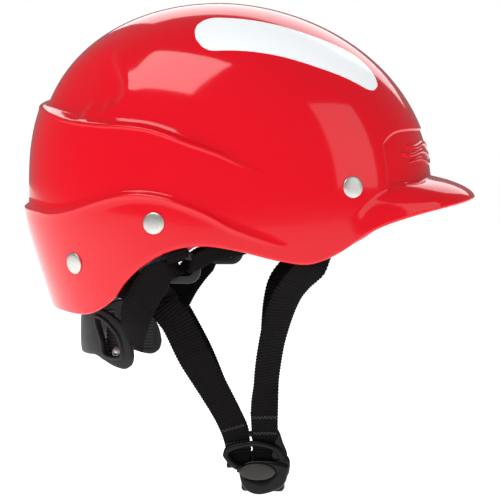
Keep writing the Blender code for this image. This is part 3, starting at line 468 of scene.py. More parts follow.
def tube(name, path, radius, look, body):
    """A round bead along a closed line of points."""
    curve = bpy.data.curves.new(name, "CURVE")
    curve.dimensions = "3D"
    curve.bevel_depth = radius * MM
    curve.bevel_resolution = 2
    curve.use_fill_caps = True
    line = curve.splines.new("POLY")
    line.points.add(len(path) - 1)
    line.use_cyclic_u = True
    for point, place in zip(line.points, path):
        point.co = (*(Vector(place) * MM), 1)
    obj = bpy.data.objects.new(name, curve)
    bpy.context.scene.collection.objects.link(obj)
    curve.materials.append(look)
    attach(obj, body)


# ---- materials --------------------------------------------------------------------------------
class Look:
    """A material with a Principled BSDF, and short ways to add nodes to it."""

    def __init__(self, name, colour, roughness, metallic=0.0, **sockets):
        self.material = bpy.data.materials.new(name)
        self.material.use_nodes = True
        self.tree = self.material.node_tree
        self.shader = self.tree.nodes["Principled BSDF"]
        self.colour = colour
        self.set(self.shader, "Base Color", (*colour, 1))
        self.set(self.shader, "Roughness", roughness)
        self.set(self.shader, "Metallic", metallic)
        for socket, value in sockets.items():
            self.set(self.shader, socket.replace("_", " "), value)
        self.bump = None

    def set(self, node, socket, value):
        node.inputs[socket].default_value = value

    def node(self, kind, **values):
        made = self.tree.nodes.new("ShaderNode" + kind)
        for socket, value in values.items():
            self.set(made, socket.replace("_", " "), value)
        return made

    def place(self, kind="Object"):
        return self.node("TexCoord").outputs[kind]

    def noise(self, scale, detail=3.0):
        made = self.node("TexNoise", Scale=scale, Detail=detail, Roughness=0.5)
        self.tree.links.new(self.place(), made.inputs["Vector"])
        return made.outputs["Fac"]

    def cells(self, scale):
        made = self.node("TexVoronoi", Scale=scale)
        made.feature = "DISTANCE_TO_EDGE"
        self.tree.links.new(self.place(), made.inputs["Vector"])
        return made.outputs["Distance"]

    def waves(self, scale, direction, kind="UV"):
        made = self.node("TexWave", Scale=scale, Distortion=0.0)
        made.bands_direction = direction
        self.tree.links.new(self.place(kind), made.inputs["Vector"])
        return made.outputs["Fac"]

    def ranged(self, source, low, high):
        made = self.node("MapRange")
        self.set(made, "To Min", low)
        self.set(made, "To Max", high)
        self.tree.links.new(source, made.inputs["Value"])
        return made.outputs["Result"]

    def tinted(self, source, other, share=1.0):
        """Colour varies between the look's own and other where source rises."""
        made = self.tree.nodes.new("ShaderNodeMix")
        made.data_type = "RGBA"
        made.inputs["A"].default_value = (*self.colour, 1)
        made.inputs["B"].default_value = (*other, 1)
        self.tree.links.new(self.ranged(source, 0, share), made.inputs["Factor"])
        self.tree.links.new(made.outputs["Result"], self.shader.inputs["Base Color"])

    def rough(self, source, low, high):
        self.tree.links.new(self.ranged(source, low, high), self.shader.inputs["Roughness"])

    def bumped(self, source, height):
        """Adds relief of that height in millimetres on top of any already there."""
        made = self.node("Bump", Strength=1.0, Distance=height * MM)
        self.tree.links.new(source, made.inputs["Height"])
        if self.bump:
            self.tree.links.new(self.bump, made.inputs["Normal"])
        self.bump = made.outputs["Normal"]
        self.tree.links.new(self.bump, self.shader.inputs["Normal"])


def make_looks():
    looks = {}

    shell = Look("gloss_red_plastic", (0.88, 0.0008, 0.012), 0.09, Coat_Weight=0.25, Coat_Roughness=0.03)
    shell.set(shell.shader, "Specular IOR Level", 0.42)
    shell.tinted(shell.noise(7, 2), (0.92, 0.0015, 0.016))
    shell.rough(shell.noise(28, 4), 0.07, 0.13)
    shell.bumped(shell.noise(140, 1), 0.006)
    looks["shell"] = shell

    foam = Look("closed_cell_foam", (0.02, 0.02, 0.022), 0.88)
    foam.tinted(foam.noise(30, 4), (0.034, 0.034, 0.036))
    foam.rough(foam.noise(60, 4), 0.8, 0.95)
    foam.bumped(foam.cells(620), 0.12)
    foam.bumped(foam.noise(1500, 2), 0.05)
    looks["foam"] = foam

    knit = Look("knitted_pad_cloth", (0.022, 0.022, 0.025), 0.8, Sheen_Weight=0.35, Sheen_Roughness=0.4)
    knit.tinted(knit.noise(45, 3), (0.04, 0.04, 0.045))
    knit.rough(knit.noise(90, 3), 0.7, 0.92)
    knit.bumped(knit.waves(420, "X", "Object"), 0.10)
    knit.bumped(knit.waves(420, "Z", "Object"), 0.10)
    knit.bumped(knit.noise(900, 2), 0.05)
    looks["knit"] = knit

    web = Look("woven_black_webbing", (0.0032, 0.0026, 0.0026), 0.6, Specular_IOR_Level=0.09)
    web.tinted(web.noise(160, 3), (0.0075, 0.006, 0.0058))
    web.rough(web.noise(240, 3), 0.5, 0.78)
    web.bumped(web.waves(5.5, "X"), 0.10)
    web.bumped(web.noise(2200, 2), 0.04)
    looks["web"] = web

    thread = Look("black_thread", (0.012, 0.011, 0.011), 0.5, Sheen_Weight=0.2)
    thread.tinted(thread.noise(700, 2), (0.03, 0.028, 0.028))
    thread.bumped(thread.noise(3000, 1), 0.03)
    looks["thread"] = thread

    moulded = Look("moulded_grey_plastic", (0.013, 0.012, 0.0145), 0.42, Specular_IOR_Level=0.32)
    moulded.tinted(moulded.noise(50, 3), (0.024, 0.0225, 0.025))
    moulded.rough(moulded.noise(120, 4), 0.38, 0.55)
    moulded.bumped(moulded.noise(1700, 3), 0.02)
    looks["moulded"] = moulded

    gloss = Look("gloss_black_plastic", (0.0030, 0.0028, 0.0040), 0.26, Specular_IOR_Level=0.22)
    gloss.tinted(gloss.noise(60, 3), (0.005, 0.0046, 0.006))
    gloss.rough(gloss.noise(90, 4), 0.17, 0.32)
    gloss.bumped(gloss.noise(300, 2), 0.012)
    looks["gloss"] = gloss

    button = Look("satin_button_plastic", (0.026, 0.0225, 0.0215), 0.5)
    button.tinted(button.noise(80, 3), (0.034, 0.030, 0.029))
    button.rough(button.noise(150, 3), 0.42, 0.58)
    button.bumped(button.noise(2400, 3), 0.02)
    looks["button"] = button

    steel = Look("tumbled_steel", (0.80, 0.78, 0.74), 0.36, metallic=1.0)
    steel.tinted(steel.noise(500, 4), (0.62, 0.60, 0.56))
    steel.rough(steel.noise(800, 4), 0.27, 0.48)
    steel.bumped(steel.noise(900, 4), 0.02)
    looks["steel"] = steel

    # The film's emission is a painted glow that makes the patch brighter than the lamps light it; the film is no
    # lamp.
    film = Look(
        "retroreflective_film_painted_glow", (0.93, 0.97, 0.99), 0.32,
        Coat_Weight=0.5, Coat_Roughness=0.12, Emission_Strength=0.24,
    )
    film.set(film.shader, "Emission Color", (0.94, 0.98, 1, 1))
    film.tinted(film.cells(520), (0.97, 0.99, 1.0))
    film.rough(film.noise(200, 3), 0.26, 0.4)
    film.bumped(film.cells(520), 0.02)
    looks["film"] = film

    floor = Look("pale_floor", (0.90, 0.90, 0.90), 0.85, Emission_Strength=FLOOR_GLOW)
    floor.set(floor.shader, "Emission Color", (1, 1, 1, 1))
    floor.tinted(floor.noise(0.8, 2), (0.93, 0.93, 0.93))
    floor.rough(floor.noise(3, 2), 0.8, 0.9)
    looks["floor"] = floor
    return {name: look.material for name, look in looks.items()}


# ---- shell surface ----------------------------------------------------------------------------
def profile_reach(depth, profile):
    reach, drop, power, root = profile
    left = max(0.0, 1 - depth / drop)
    return reach * (1 - left**power) ** (1 / root)


def nape_tuck(depth):
    past = max(0.0, depth - NAPE_TUCK_START)
    return NAPE_TUCK_SLOPE * past * past / (past + NAPE_TUCK_EASE)


def plan_reaches(depth, ahead):
    lengthwise = profile_reach(depth, FRONT_PROFILE if ahead else BACK_PROFILE)
    if not ahead:
        lengthwise -= nape_tuck(depth)
    return lengthwise, profile_reach(depth, SIDE_PROFILE)


def plain_radius(angle, depth):
    """Distance from the plan centre to the shell without its ledges, brim, panel and scoops."""
    c, s = math.cos(math.radians(angle)), math.sin(math.radians(angle))
    length, width = plan_reaches(max(depth, 1e-4), c >= 0)
    return ((abs(c) / length) ** PLAN_POWER + (abs(s) / width) ** PLAN_POWER) ** (-1 / PLAN_POWER)


def line_depth(line, angle):
    return SHELL_TOP - through(line, abs(angle))


def ledge(turn, depth, line, height, fade):
    """A step outwards below a line, with a soft bead along its lip."""
    strength = ease(turn, *fade)
    if not strength:
        return 0.0
    lip = line + LEDGE_WIDTH
    return strength * (height * ease(depth, line, lip) + CREST_HEIGHT * bell(depth, lip, CREST_WIDTH))


def relief(angle, depth):
    """How far the shell's outer face stands out from the plain form."""
    turn = abs(angle)
    upper, lower, rim = (line_depth(line, turn) for line in (UPPER_LEDGE, LOWER_LEDGE, RIM))
    out = ledge(turn, depth, upper, UPPER_STEP, UPPER_STEP_FADE)
    out += ledge(turn, depth, lower, LOWER_STEP, LOWER_STEP_FADE)
    if turn < PANEL_EDGE[1] + 1:
        corner = 7 * (1 - math.sqrt(max(0.0, 1 - max(0.0, (turn - 20) / 9) ** 2)))
        top, bottom = upper + corner, lower - corner
        in_panel = ease(depth, top, top + 2) * (1 - ease(depth, bottom, bottom + 3))
        out -= PANEL_DEPTH * in_panel * (1 - ease(turn, *PANEL_EDGE))
    share = min(max((depth - lower) / (rim - lower), 0.0), 1.0)
    out += BRIM_REACH * (1 - ease(turn, *BRIM_FADE)) * (1 - (1 - share) ** BRIM_CURL)
    if turn < SCOOP_START:
        return out
    height = SHELL_TOP - depth
    front = through(SCOOP_FRONT, height)
    sideways = ease(turn, front, front + SCOOP_LIP) * (1 - ease(turn, *SCOOP_BACK))
    downward = 1 - ease(height, SCOOP_TOP[1], SCOOP_TOP[0])
    above_ledge = 1 - ease(depth, upper, upper + LEDGE_WIDTH)
    lip = CREST_HEIGHT * bell(turn, front - 1, 2.2) * downward * above_ledge
    return out + lip - SCOOP_DEPTH * sideways * downward * above_ledge


def place_on(angle, depth, radius):
    a = math.radians(angle)
    return Vector((PLAN_CENTRE_X + radius * math.cos(a), radius * math.sin(a), SHELL_TOP - depth))


def outer_point(angle, depth):
    return place_on(angle, depth, plain_radius(angle, depth) + relief(angle, depth))


def plain_point(angle, depth):
    return place_on(angle, depth, plain_radius(angle, depth))


def normal_at(surface, angle, depth, turn_step=0.4, drop_step=0.4):
    """Outward direction of a surface function, by small steps on each side."""
    if depth < 0.05:
        return Vector((0, 0, 1))
    drop = min(drop_step, depth * 0.4)
    round_way = surface(angle + turn_step, depth) - surface(angle - turn_step, depth)
    down_way = surface(angle, depth + drop) - surface(angle, depth - drop)
    return down_way.cross(round_way).normalized()


def inset_point(angle, depth, inset):
    return plain_point(angle, depth) - normal_at(plain_point, angle, depth) * inset


def side_reach(x, z, inset):
    """Half-width of the plain form, moved in by inset, at a place along it."""
    length, width = plan_reaches(SHELL_TOP - z, x >= PLAN_CENTRE_X)
    share = abs(x - PLAN_CENTRE_X) / (length - inset)
    return (width - inset) * (1 - share**PLAN_POWER) ** (1 / PLAN_POWER)


def crown_depth(x, y):
    """Angle and depth of the plain form at a place in plan."""
    angle = math.degrees(math.atan2(y, x - PLAN_CENTRE_X))
    wanted = math.hypot(x - PLAN_CENTRE_X, y)
    low, high = 0.0, 120.0
    for _ in range(32):
        middle = (low + high) / 2
        if plain_radius(angle, middle) < wanted:
            low = middle
        else:
            high = middle
    return angle, low


def rivet_spot(name, side):
    x, z = RIVET_PLACES[name]
    return side * math.degrees(math.atan2(side_reach(x, z, 0), x - PLAN_CENTRE_X)), SHELL_TOP - z


# ---- shell ------------------------------------------------------------------------------------
def shell_depths(angle, rows=(30, 7, 5, 14, 6, 4, 14)):
    """Depths down one column: crown, upper ledge, its lip, band, lower ledge, its lip, skirt."""
    upper, lower, rim = (line_depth(line, angle) for line in (UPPER_LEDGE, LOWER_LEDGE, RIM))
    rim -= 1.0
    stops = [upper * (k / rows[0]) ** 1.7 for k in range(1, rows[0] + 1)]
    ends = (upper, upper + 3.2, upper + 6, lower, lower + 3.2, lower + 5.5, rim)
    for start, end, count in zip(ends, ends[1:], rows[1:]):
        stops += [start + (end - start) * (k + 1) / count for k in range(count)]
    return stops


def shell_columns():
    wanted = {k * 1.5 for k in range(-120, 120)}
    wanted |= {side * (26.25 + 0.5 * k) for side in (-1, 1) for k in range(7)}
    return sorted(wanted)


def make_shell(looks):
    """Outer face, rolled edge and inner face of the shell, as one closed skin."""
    columns = shell_columns()
    edge = [math.radians(a) for a in (20, 45, 70, 90, 110, 135, 160)]
    tracks = []
    for angle in columns:
        stops = shell_depths(angle)
        outer = [outer_point(angle, depth) for depth in stops]
        inner = []
        for point, depth in zip(outer, stops):
            inner.append(point - normal_at(outer_point, angle, depth, 1.2, 2.2) * SHELL_WALL)
        middle = (outer[-1] + inner[-1]) / 2
        across = (outer[-1] - inner[-1]) / 2
        down = outer[-1] - outer[-2]
        down = (down - down.project(across)).normalized() * 1.3
        roll = [middle + across * math.cos(a) + down * math.sin(a) for a in edge]
        tracks.append(outer + roll + inner[::-1][::2])
    rows = [[Vector((PLAN_CENTRE_X, 0, SHELL_TOP))]]
    rows += [list(row) for row in zip(*tracks)]
    rows.append([Vector((PLAN_CENTRE_X, 0, SHELL_TOP - SHELL_WALL))])
    shell = skin("gloss_shell", rows, caps=False)
    finish_piece(shell, looks["shell"], "helmet", ("outer_shell",), sharp=60)


def surface_strip(name, spots, look, lift, sink):
    """A raised shape on the shell; spots is rows of (angle, depth) from one edge to the other."""
    rows = []
    for line in spots:
        count = len(line) - 1
        over, under = [], []
        for k, (angle, depth) in enumerate(line):
            out = normal_at(outer_point, angle, depth)
            point = outer_point(angle, depth)
            shoulder = 1 - (abs(2 * k / count - 1)) ** 6
            over.append(point + out * (sink + (lift - sink) * (0.25 + 0.75 * shoulder)))
            under.append(point - out * 0.6)
        rows.append(over + under[::-1])
    strip = skin(name, rows)
    finish_piece(strip, look, "helmet", sharp=50)


def make_brow_motif(looks):
    """Three rippling bands, raised on the brow panel."""
    for band, (height, reach) in enumerate(MOTIF_BANDS):
        spots = []
        for k in range(61):
            t = 2 * k / 60 - 1
            angle = t * reach
            half = 1.35 * math.sqrt(max(0.0, 1 - abs(t) ** 5)) + 0.06
            middle = SHELL_TOP - height + 1.25 * math.sin(math.radians(angle * 20 + 70 * band))
            spots.append([(angle, middle + half * (2 * c / 6 - 1)) for c in range(7)])
        surface_strip(f"brow_ripple_{band + 1}", spots, looks["shell"], 1.0, 0.05)


def make_decal(name, side, looks, columns=16, rows=72):
    """A long round-ended patch of thin film that follows the crown."""
    path = spline(DECAL_ROUTE, 0.4)
    last = len(path) - 1
    lines = []
    for r in range(rows + 1):
        t = 0.5 - 0.5 * math.cos(math.pi * r / rows)
        i = round(t * last)
        point = path[i]
        along = (path[min(i + 1, last)] - path[max(i - 1, 0)]).normalized()
        across = Vector((-along.y, along.x, 0))
        from_end = min(t, 1 - t) / 0.115
        end = math.sqrt(max(0.0, 1 - (1 - from_end) ** 2)) if from_end < 1 else 1.0
        reach = through(DECAL_HALF_WIDTH, t) * max(end, 0.03)
        line = []
        for c in range(columns + 1):
            spot = point + across * reach * (2 * c / columns - 1)
            line.append(crown_depth(spot.x, side * spot.y))
        lines.append(line)
    film = []
    for line in lines:
        over = [inset_point(angle, depth, -0.28) for angle, depth in line]
        under = [inset_point(angle, depth, 0.3) for angle, depth in line]
        film.append(over + under[::-1])
    patch = skin("silver_patch_" + name, film)
    finish_piece(patch, looks["film"], "helmet", ("reflective_decal_" + name,))


def make_rivets(name, side, looks):
    for place_name in RIVET_PLACES:
        angle, depth = rivet_spot(place_name, side)
        place = outer_point(angle, depth)
        out = normal_at(outer_point, angle, depth, 2.5, 3)
        label = f"{place_name}_{name}"
        bends = [k * math.pi / 16 for k in range(8)]
        dome = [(RIVET_RADIUS * math.cos(a), 0.55 + 1.05 * math.sin(a)) for a in bends]
        head = [(0, -4.2), (2.2, -4.2), (2.2, -0.6), (RIVET_RADIUS - 0.7, -0.6), (RIVET_RADIUS - 0.12, 0.0)]
        head += [(RIVET_RADIUS, 0.3)] + dome + [(0, 1.6)]
        rivet = turned("dome_rivet_" + label, head, place, out)
        finish_piece(rivet, looks["steel"], "helmet", ("rivet_" + label,))
        far = -SHELL_WALL - WEB_CLEARANCE - WEB_THICKNESS - 0.3 - WASHER_SET_BACK[place_name]
        ring = [(2.3, far), (5.6, far), (6.0, far - 0.3), (6.0, far - 0.8), (5.6, far - 1.1), (3.2, far - 1.1)]
        ring += [(3.0, far - 1.9), (0, far - 2.1)]
        washer = turned("rivet_back_" + label, [(0, far)] + ring, place, out)
        finish_piece(washer, looks["steel"], "helmet", ("rivet_washer_" + label,))


# ---- liner ------------------------------------------------------------------------------------
def liner_gap(depth):
    return LINER_GAP_CROWN + (LINER_GAP_RIM - LINER_GAP_CROWN) * ease(depth, *LINER_GAP_BAND)


def liner_inset(depth):
    wall = LINER_CROWN_WALL + (LINER_WALL - LINER_CROWN_WALL) * ease(depth, 20, 80)
    return SHELL_WALL + liner_gap(depth) + wall


def liner_groove(angle, depth, end):
    """Depth of the channels that let water and air run down the liner's inner face."""
    off = abs((abs(angle) + GROOVE_EVERY / 2) % GROOVE_EVERY - GROOVE_EVERY / 2)
    across = bell(off, 0, 1.6)
    return 2.2 * across * ease(depth, 16, 30) * (1 - ease(depth, end - 16, end - 7))


def make_liner(looks, columns=240, rows=44):
    tracks = []
    for k in range(columns):
        angle = -180 + 360 * k / columns
        end = line_depth(RIM, angle) - LINER_ABOVE_RIM - LINER_NAPE_LIFT * ease(abs(angle), 135, 152) - 1.5
        stops = [end * ((r + 1) / rows) ** 1.5 for r in range(rows)]
        outer, inner = [], []
        for depth in stops:
            near = [relief(angle + a, depth + d) for a in (-5, 5) for d in (-5, 5)]
            hollow = max(0.0, -min(near), -relief(angle, depth))
            outer.append(inset_point(angle, depth, SHELL_WALL + liner_gap(depth) + hollow))
            inner.append(inset_point(angle, depth, liner_inset(depth) - liner_groove(angle, depth, end)))
        middle, across = (outer[-1] + inner[-1]) / 2, (outer[-1] - inner[-1]) / 2
        roll = []
        for a in (25, 55, 90, 125, 155):
            turn = math.radians(a)
            roll.append(middle + across * math.cos(turn) + Vector((0, 0, -1.6 * math.sin(turn))))
        tracks.append(outer + roll + inner[::-1])
    top = SHELL_TOP - SHELL_WALL - LINER_GAP_CROWN
    rows_made = [[Vector((PLAN_CENTRE_X, 0, top))]] + [list(row) for row in zip(*tracks)]
    rows_made.append([Vector((PLAN_CENTRE_X, 0, top - LINER_CROWN_WALL))])
    liner = skin("foam_shell_liner", rows_made, caps=False)
    finish_piece(liner, looks["foam"], "helmet", ("foam_liner",), sharp=50)


# ---- pads ---------------------------------------------------------------------------------------
def pad_blank(name, face, columns, rows, thickness):
    """A closed pad blank; face(u, v, rise) gives a point for u and v from -1 to 1."""
    lines = []
    for r in range(rows + 1):
        v = 2 * r / rows - 1
        back, front = [], []
        for c in range(columns + 1):
            u = 2 * c / columns - 1
            crown = (1 - u**6) * (1 - v**6)
            back.append(face(u, v, 0.4))
            front.append(face(u, v, 1.6 + (thickness - 1.6) * crown))
        lines.append(back + front[::-1])
    return skin(name, lines)


def wall_face(first, last, top, bottom):
    """Point on the liner's inner face, raised towards the head, for a pad between two angles."""
    def face(u, v, rise):
        pull = 1 - 0.05 * v * v
        angle = (first + last) / 2 + (last - first) / 2 * u * pull
        high, low = top(angle), bottom(angle)
        inner = (1 - 0.04 * u * u) * v
        depth = SHELL_TOP - ((high + low) / 2 - (high - low) / 2 * inner)
        return inset_point(angle, depth, liner_inset(depth) + PAD_GAP + rise)
    return face


def crown_face(u, v, rise):
    """Point of the round crown pad; its face towards the head is flat."""
    across = Vector((u * math.sqrt(1 - v * v / 2), v * math.sqrt(1 - u * u / 2)))
    spot = across * CROWN_PAD_RADIUS
    bulge = (CROWN_PAD_HEIGHT - 1.2) * (1 - across.length**2)
    high = 1.0 + bulge
    low = 0.1
    share = min(max((rise - 0.4) / (PAD_THICKNESS - 0.4), 0.0), 1.0)
    return Vector((CROWN_PAD_CENTRE_X + spot.x, spot.y, high + (low - high) * share))


def brace_point(turn, z, radius):
    a = math.radians(180 - turn)
    return Vector((BRACE_CENTRE_X + radius * math.cos(a), radius * math.sin(a), z))


def brace_face(u, v, rise):
    turn = BRACE_PAD_TURN * u * (1 - 0.04 * v * v)
    z = BRACE_PAD_Z - BRACE_PAD_HALF_HEIGHT * v * (1 - 0.05 * u * u)
    return brace_point(turn, z, BRACE_RADIUS - BRACE_WALL - 0.5 - rise)


def pad_kinds():
    """name: (face, columns, rows, thickness, body, node, seams); a seam is (u or v, place)."""
    def rim(angle):
        return through(RIM, abs(angle))

    def brow_top(angle):
        return -53 - 14 * ease(abs(angle), 20, 50)

    def brow_bottom(angle):
        return rim(angle) + 4.5 - 9 * ease(abs(angle), 22, 36)

    kinds = {
        "crown": (crown_face, 24, 24, PAD_THICKNESS, "helmet", "crown_pad", ()),
        "brow": (
            wall_face(-51, 51, brow_top, brow_bottom),
            60, 26, PAD_THICKNESS, "helmet", "brow_pad", (("u", -0.5), ("u", 0.0), ("u", 0.5)),
        ),
        "rear": (
            wall_face(139, 221, lambda a: -79.0, lambda a: -131.0),
            48, 20, PAD_THICKNESS, "helmet", "rear_pad", (("u", -0.34), ("u", 0.34)),
        ),
        "brace": (brace_face, 40, 12, 4.6, "rear_brace", "brace_pad", (("u", 0.0),)),
    }
    for name, side in SIDES:
        kinds["side_" + name] = (
            wall_face(side * 67, side * 107, lambda a: -59.0, lambda a: rim(a) + 15),
            28, 24, PAD_THICKNESS, "helmet", "side_pad_" + name, (("v", 0.0),),
        )
    return kinds


def remeshed(obj, voxel=PAD_VOXEL):
    step = obj.modifiers.new("remesh", "REMESH")
    step.mode = "VOXEL"
    step.voxel_size = voxel * MM
    baked(obj)
    smooth = obj.modifiers.new("smooth", "SMOOTH")
    smooth.iterations = 4
    smooth.factor = 0.5
    return baked(obj)


def puff(pads):
    """Cloth simulation that swells every pad a little, with its travel capped."""
    scene = bpy.context.scene
    rest = {}
    for pad in pads:
        rest[pad.name] = [v.co.copy() for v in pad.data.vertices]
        cloth = pad.modifiers.new("puff", "CLOTH").settings
        cloth.quality = 4
        cloth.mass = 0.15
        cloth.tension_stiffness = 12
        cloth.compression_stiffness = 12
        cloth.bending_stiffness = 0.4
        cloth.use_pressure = True
        cloth.uniform_pressure_force = 4
        cloth.effector_weights.gravity = 0
    for number in range(1, PUFF_FRAMES + 1):
        scene.frame_set(number)
    for pad in pads:
        baked(pad)
        for vertex, start in zip(pad.data.vertices, rest[pad.name]):
            move = vertex.co - start
            if move.length > PUFF_CAP * MM:
                vertex.co = start + move.normalized() * PUFF_CAP * MM
    scene.frame_set(1)


def sewn(pad, face, seams, thickness):
    """Presses each sewn channel into the pad, and returns the channel lines."""
    stops = [(2 * k / 30 - 1) * 0.97 for k in range(31)]
    lines = []
    for way, place in seams:
        line = [face(place, s, thickness) if way == "u" else face(s, place, thickness) for s in stops]
        seat = face(place, 0.0, 0.4) if way == "u" else face(0.0, place, 0.4)
        inward = (seat - line[len(line) // 2]).normalized()
        for vertex in pad.data.vertices:
            near = min((vertex.co / MM - point).length for point in line)
            if near < 7:
                vertex.co += inward * MM * 1.5 * bell(near, 0, 2.4)
        lines.append(line)
    return lines


def make_pads(looks):
    kinds = pad_kinds()
    pads = {}
    for name, (face, columns, rows, thickness, *_) in kinds.items():
        pads[name] = remeshed(pad_blank("pad_" + name, face, columns, rows, thickness - PUFF_CAP * 0.5))
    puff(list(pads.values()))
    for name, (face, columns, rows, thickness, body, node, seams) in kinds.items():
        pad = pads[name]
        finer = pad.modifiers.new("finer", "SUBSURF")
        finer.levels = finer.render_levels = 1
        baked(pad)
        for number, line in enumerate(sewn(pad, face, seams, thickness)):
            lowered = [point + (face(0, 0, 0.4) - face(0, 0, thickness)).normalized() * 1.2 for point in line]
            stitches(f"pad_{name}_channel_{number + 1}", lowered, looks["thread"], body)
        finish_piece(pad, looks["knit"], body, (node,), sharp=180)
        tube(f"pad_{name}_piping", pad_edge(face), 0.75, looks["thread"], body)


def pad_edge(face, count=44):
    """The line round a pad's rim, halfway through its thickness."""
    rise = 1.1
    ends = [2 * k / count - 1 for k in range(count)]
    edge = [face(t, -1, rise) for t in ends] + [face(1, t, rise) for t in ends]
    edge += [face(-t, 1, rise) for t in ends] + [face(-1, -t, rise) for t in ends]
    return edge


def stitches(name, line, look, body, length=2.2, gap=1.3, radius=0.28):
    """A run of separate stitches along a line, as one piece."""
    path = spline([tuple(p) for p in line], 0.3)
    points, faces = [], []
    stride = length + gap
    walked, start = 0.0, 0
    for i in range(1, len(path)):
        walked += (path[i] - path[i - 1]).length
        if walked < stride:
            continue
        a, b = path[start], path[i]
        along = (b - a).normalized() * length
        thread(points, faces, a, a + along, radius)
        walked, start = 0.0, i
    if not points:
        return
    obj = mesh_object(name, points, faces)
    finish_piece(obj, look, body, sharp=180)


def thread(points, faces, a, b, radius):
    """Adds one stitch, a short round-ended thread from a to b."""
    along = (b - a).normalized()
    side = along.orthogonal().normalized()
    up = along.cross(side)
    rings = ((0.0, 0.0), (0.12, 0.75), (0.5, 1.0), (0.88, 0.75), (1.0, 0.0))
    first = len(points)
    points.append(a)
    for share, width in rings[1:-1]:
        for k in range(6):
            turn = math.tau * k / 6
            points.append(a + (b - a) * share + (side * math.cos(turn) + up * math.sin(turn)) * radius * width)
    points.append(b)
    for k in range(6):
        n = (k + 1) % 6
        faces.append((first, first + 1 + n, first + 1 + k))
        faces.append((first + 19, first + 13 + k, first + 13 + n))
        for ring in (0, 1):
            low = first + 1 + ring * 6
            faces.append((low + k, low + n, low + 6 + n, low + 6 + k))


# ---- webbing ----------------------------------------------------------------------------------
def sides_along(path, keys):
    """The width's direction at each point; keys are (share of the length, direction) pairs."""
    last = len(path) - 1
    made = []
    for i in range(last + 1):
        along = (path[min(i + 1, last)] - path[max(i - 1, 0)]).normalized()
        share = i / last
        k = max((n for n in range(len(keys) - 1) if keys[n][0] <= share), default=0)
        (s0, d0), (s1, d1) = keys[k], keys[k + 1]
        side = Vector(d0).lerp(Vector(d1), min(max((share - s0) / (s1 - s0), 0.0), 1.0))
        made.append((side - side.dot(along) * along).normalized())
    return made


def even_keys(ways, first=0.0, last=1.0):
    return [(first + (last - first) * k / (len(ways) - 1), way) for k, way in enumerate(ways)]


def eased_widths(count, width, end_width):
    return [width + (end_width - width) * ease(i / (count - 1), 0.55, 1.0) for i in range(count)]


def webbing(name, path, sides, widths, look, slot="webbing_black", thick=WEB_THICKNESS):
    """Woven tape with real cross ribs and nubbly edges; sides and widths give one value a point."""
    section = ((1, 0), (0.985, 0.62), (0.93, 1), (0.5, 1), (0, 1), (-0.5, 1), (-0.93, 1), (-0.985, 0.62))
    section += tuple((-across, -high) for across, high in section)
    last = len(path) - 1
    rows, uvs = [], []
    walked = 0.0
    for i, point in enumerate(path):
        along = (path[min(i + 1, last)] - path[max(i - 1, 0)]).normalized()
        walked += (point - path[max(i - 1, 0)]).length
        face = sides[i].cross(along).normalized()
        rib = math.cos(math.tau * walked / RIB_PITCH)
        half = (widths[i] + EDGE_NIB * rib) / 2
        high = thick / 2 + RIB_HEIGHT * rib
        rows.append([point + sides[i] * half * a + face * high * h for a, h in section])
        uvs.append([(half * a / 10, walked / 10) for a, h in section])
    strap = skin(name, rows, uvs=uvs)
    strap.data.materials.append(look)
    strap.data.shade_smooth()
    strap.data.set_sharp_from_angle(angle=math.radians(75))
    return strap


def turned_back(path, sides, widths, bar, start, sweep, length):
    """Takes tape round a bar and back along itself; bar is (y, z, turning radius).

    The turn begins at the angle start about the bar, in the Y-Z plane, and goes through sweep.
    """
    y, z, radius = bar
    step = RIB_PITCH / RIB_STEPS
    x = path[-1].x
    count = max(6, round(abs(math.radians(sweep)) * radius / step))
    bend = []
    for k in range(1, count):
        turn = math.radians(start + sweep * k / count)
        bend.append(Vector((x, y + radius * math.cos(turn), z + radius * math.sin(turn))))
    centre = Vector((x, y, z))
    inward = (centre - path[-1]).normalized()
    back = []
    last = len(path) - 1
    for k in range(round(length / step)):
        i = last - k
        along = (path[min(i + 1, last)] - path[max(i - 1, 0)]).normalized()
        face = sides[i].cross(along).normalized()
        if face.dot(inward) < 0:
            face = -face
        inward = face
        apart = 2 * radius + (LAYER_APART - 2 * radius) * ease(k * step, 0, 13)
        back.append((path[i] + face * apart, sides[i], widths[i]))
    new_path = path + bend + [point for point, _, _ in back]
    new_sides = sides + [sides[-1]] * len(bend) + [side for _, side, _ in back]
    new_widths = widths + [widths[-1]] * len(bend) + [width for _, _, width in back]
    return new_path, new_sides, new_widths


def bartack(name, path, sides, widths, places, outward, look, body):
    """Rows of close stitches across a tape, at distances back from its end."""
    step = RIB_PITCH / RIB_STEPS
    points, faces = [], []
    for place in places:
        i = len(path) - 1 - round(place / step)
        along = (path[i + 1] - path[i - 1]).normalized()
        face = sides[i].cross(along).normalized()
        if face.dot(Vector(outward)) < 0:
            face = -face
        seat = path[i] + face * (WEB_THICKNESS / 2 + RIB_HEIGHT + 0.05)
        half = widths[i] / 2 - 1.4
        count = 13
        for k in range(count):
            middle = seat + sides[i] * half * (2 * k / (count - 1) - 1)
            lean = sides[i] * (0.35 if k % 2 else -0.35)
            thread(points, faces, middle - along * 1.1 - lean, middle + along * 1.1 + lean, 0.3)
    finish_piece(mesh_object(name, points, faces), look, body, sharp=180)


def gap_point(x, z, side, extra=0.0):
    """A point inside the shell, one tape's thickness clear of its inner face, plus extra."""
    angle = math.degrees(math.atan2(side_reach(x, z, 0), x - PLAN_CENTRE_X))
    inset = SHELL_WALL + WEB_THICKNESS / 2 + WEB_CLEARANCE + extra - relief(angle, SHELL_TOP - z)
    return Vector((x, side * side_reach(x, z, inset), z))


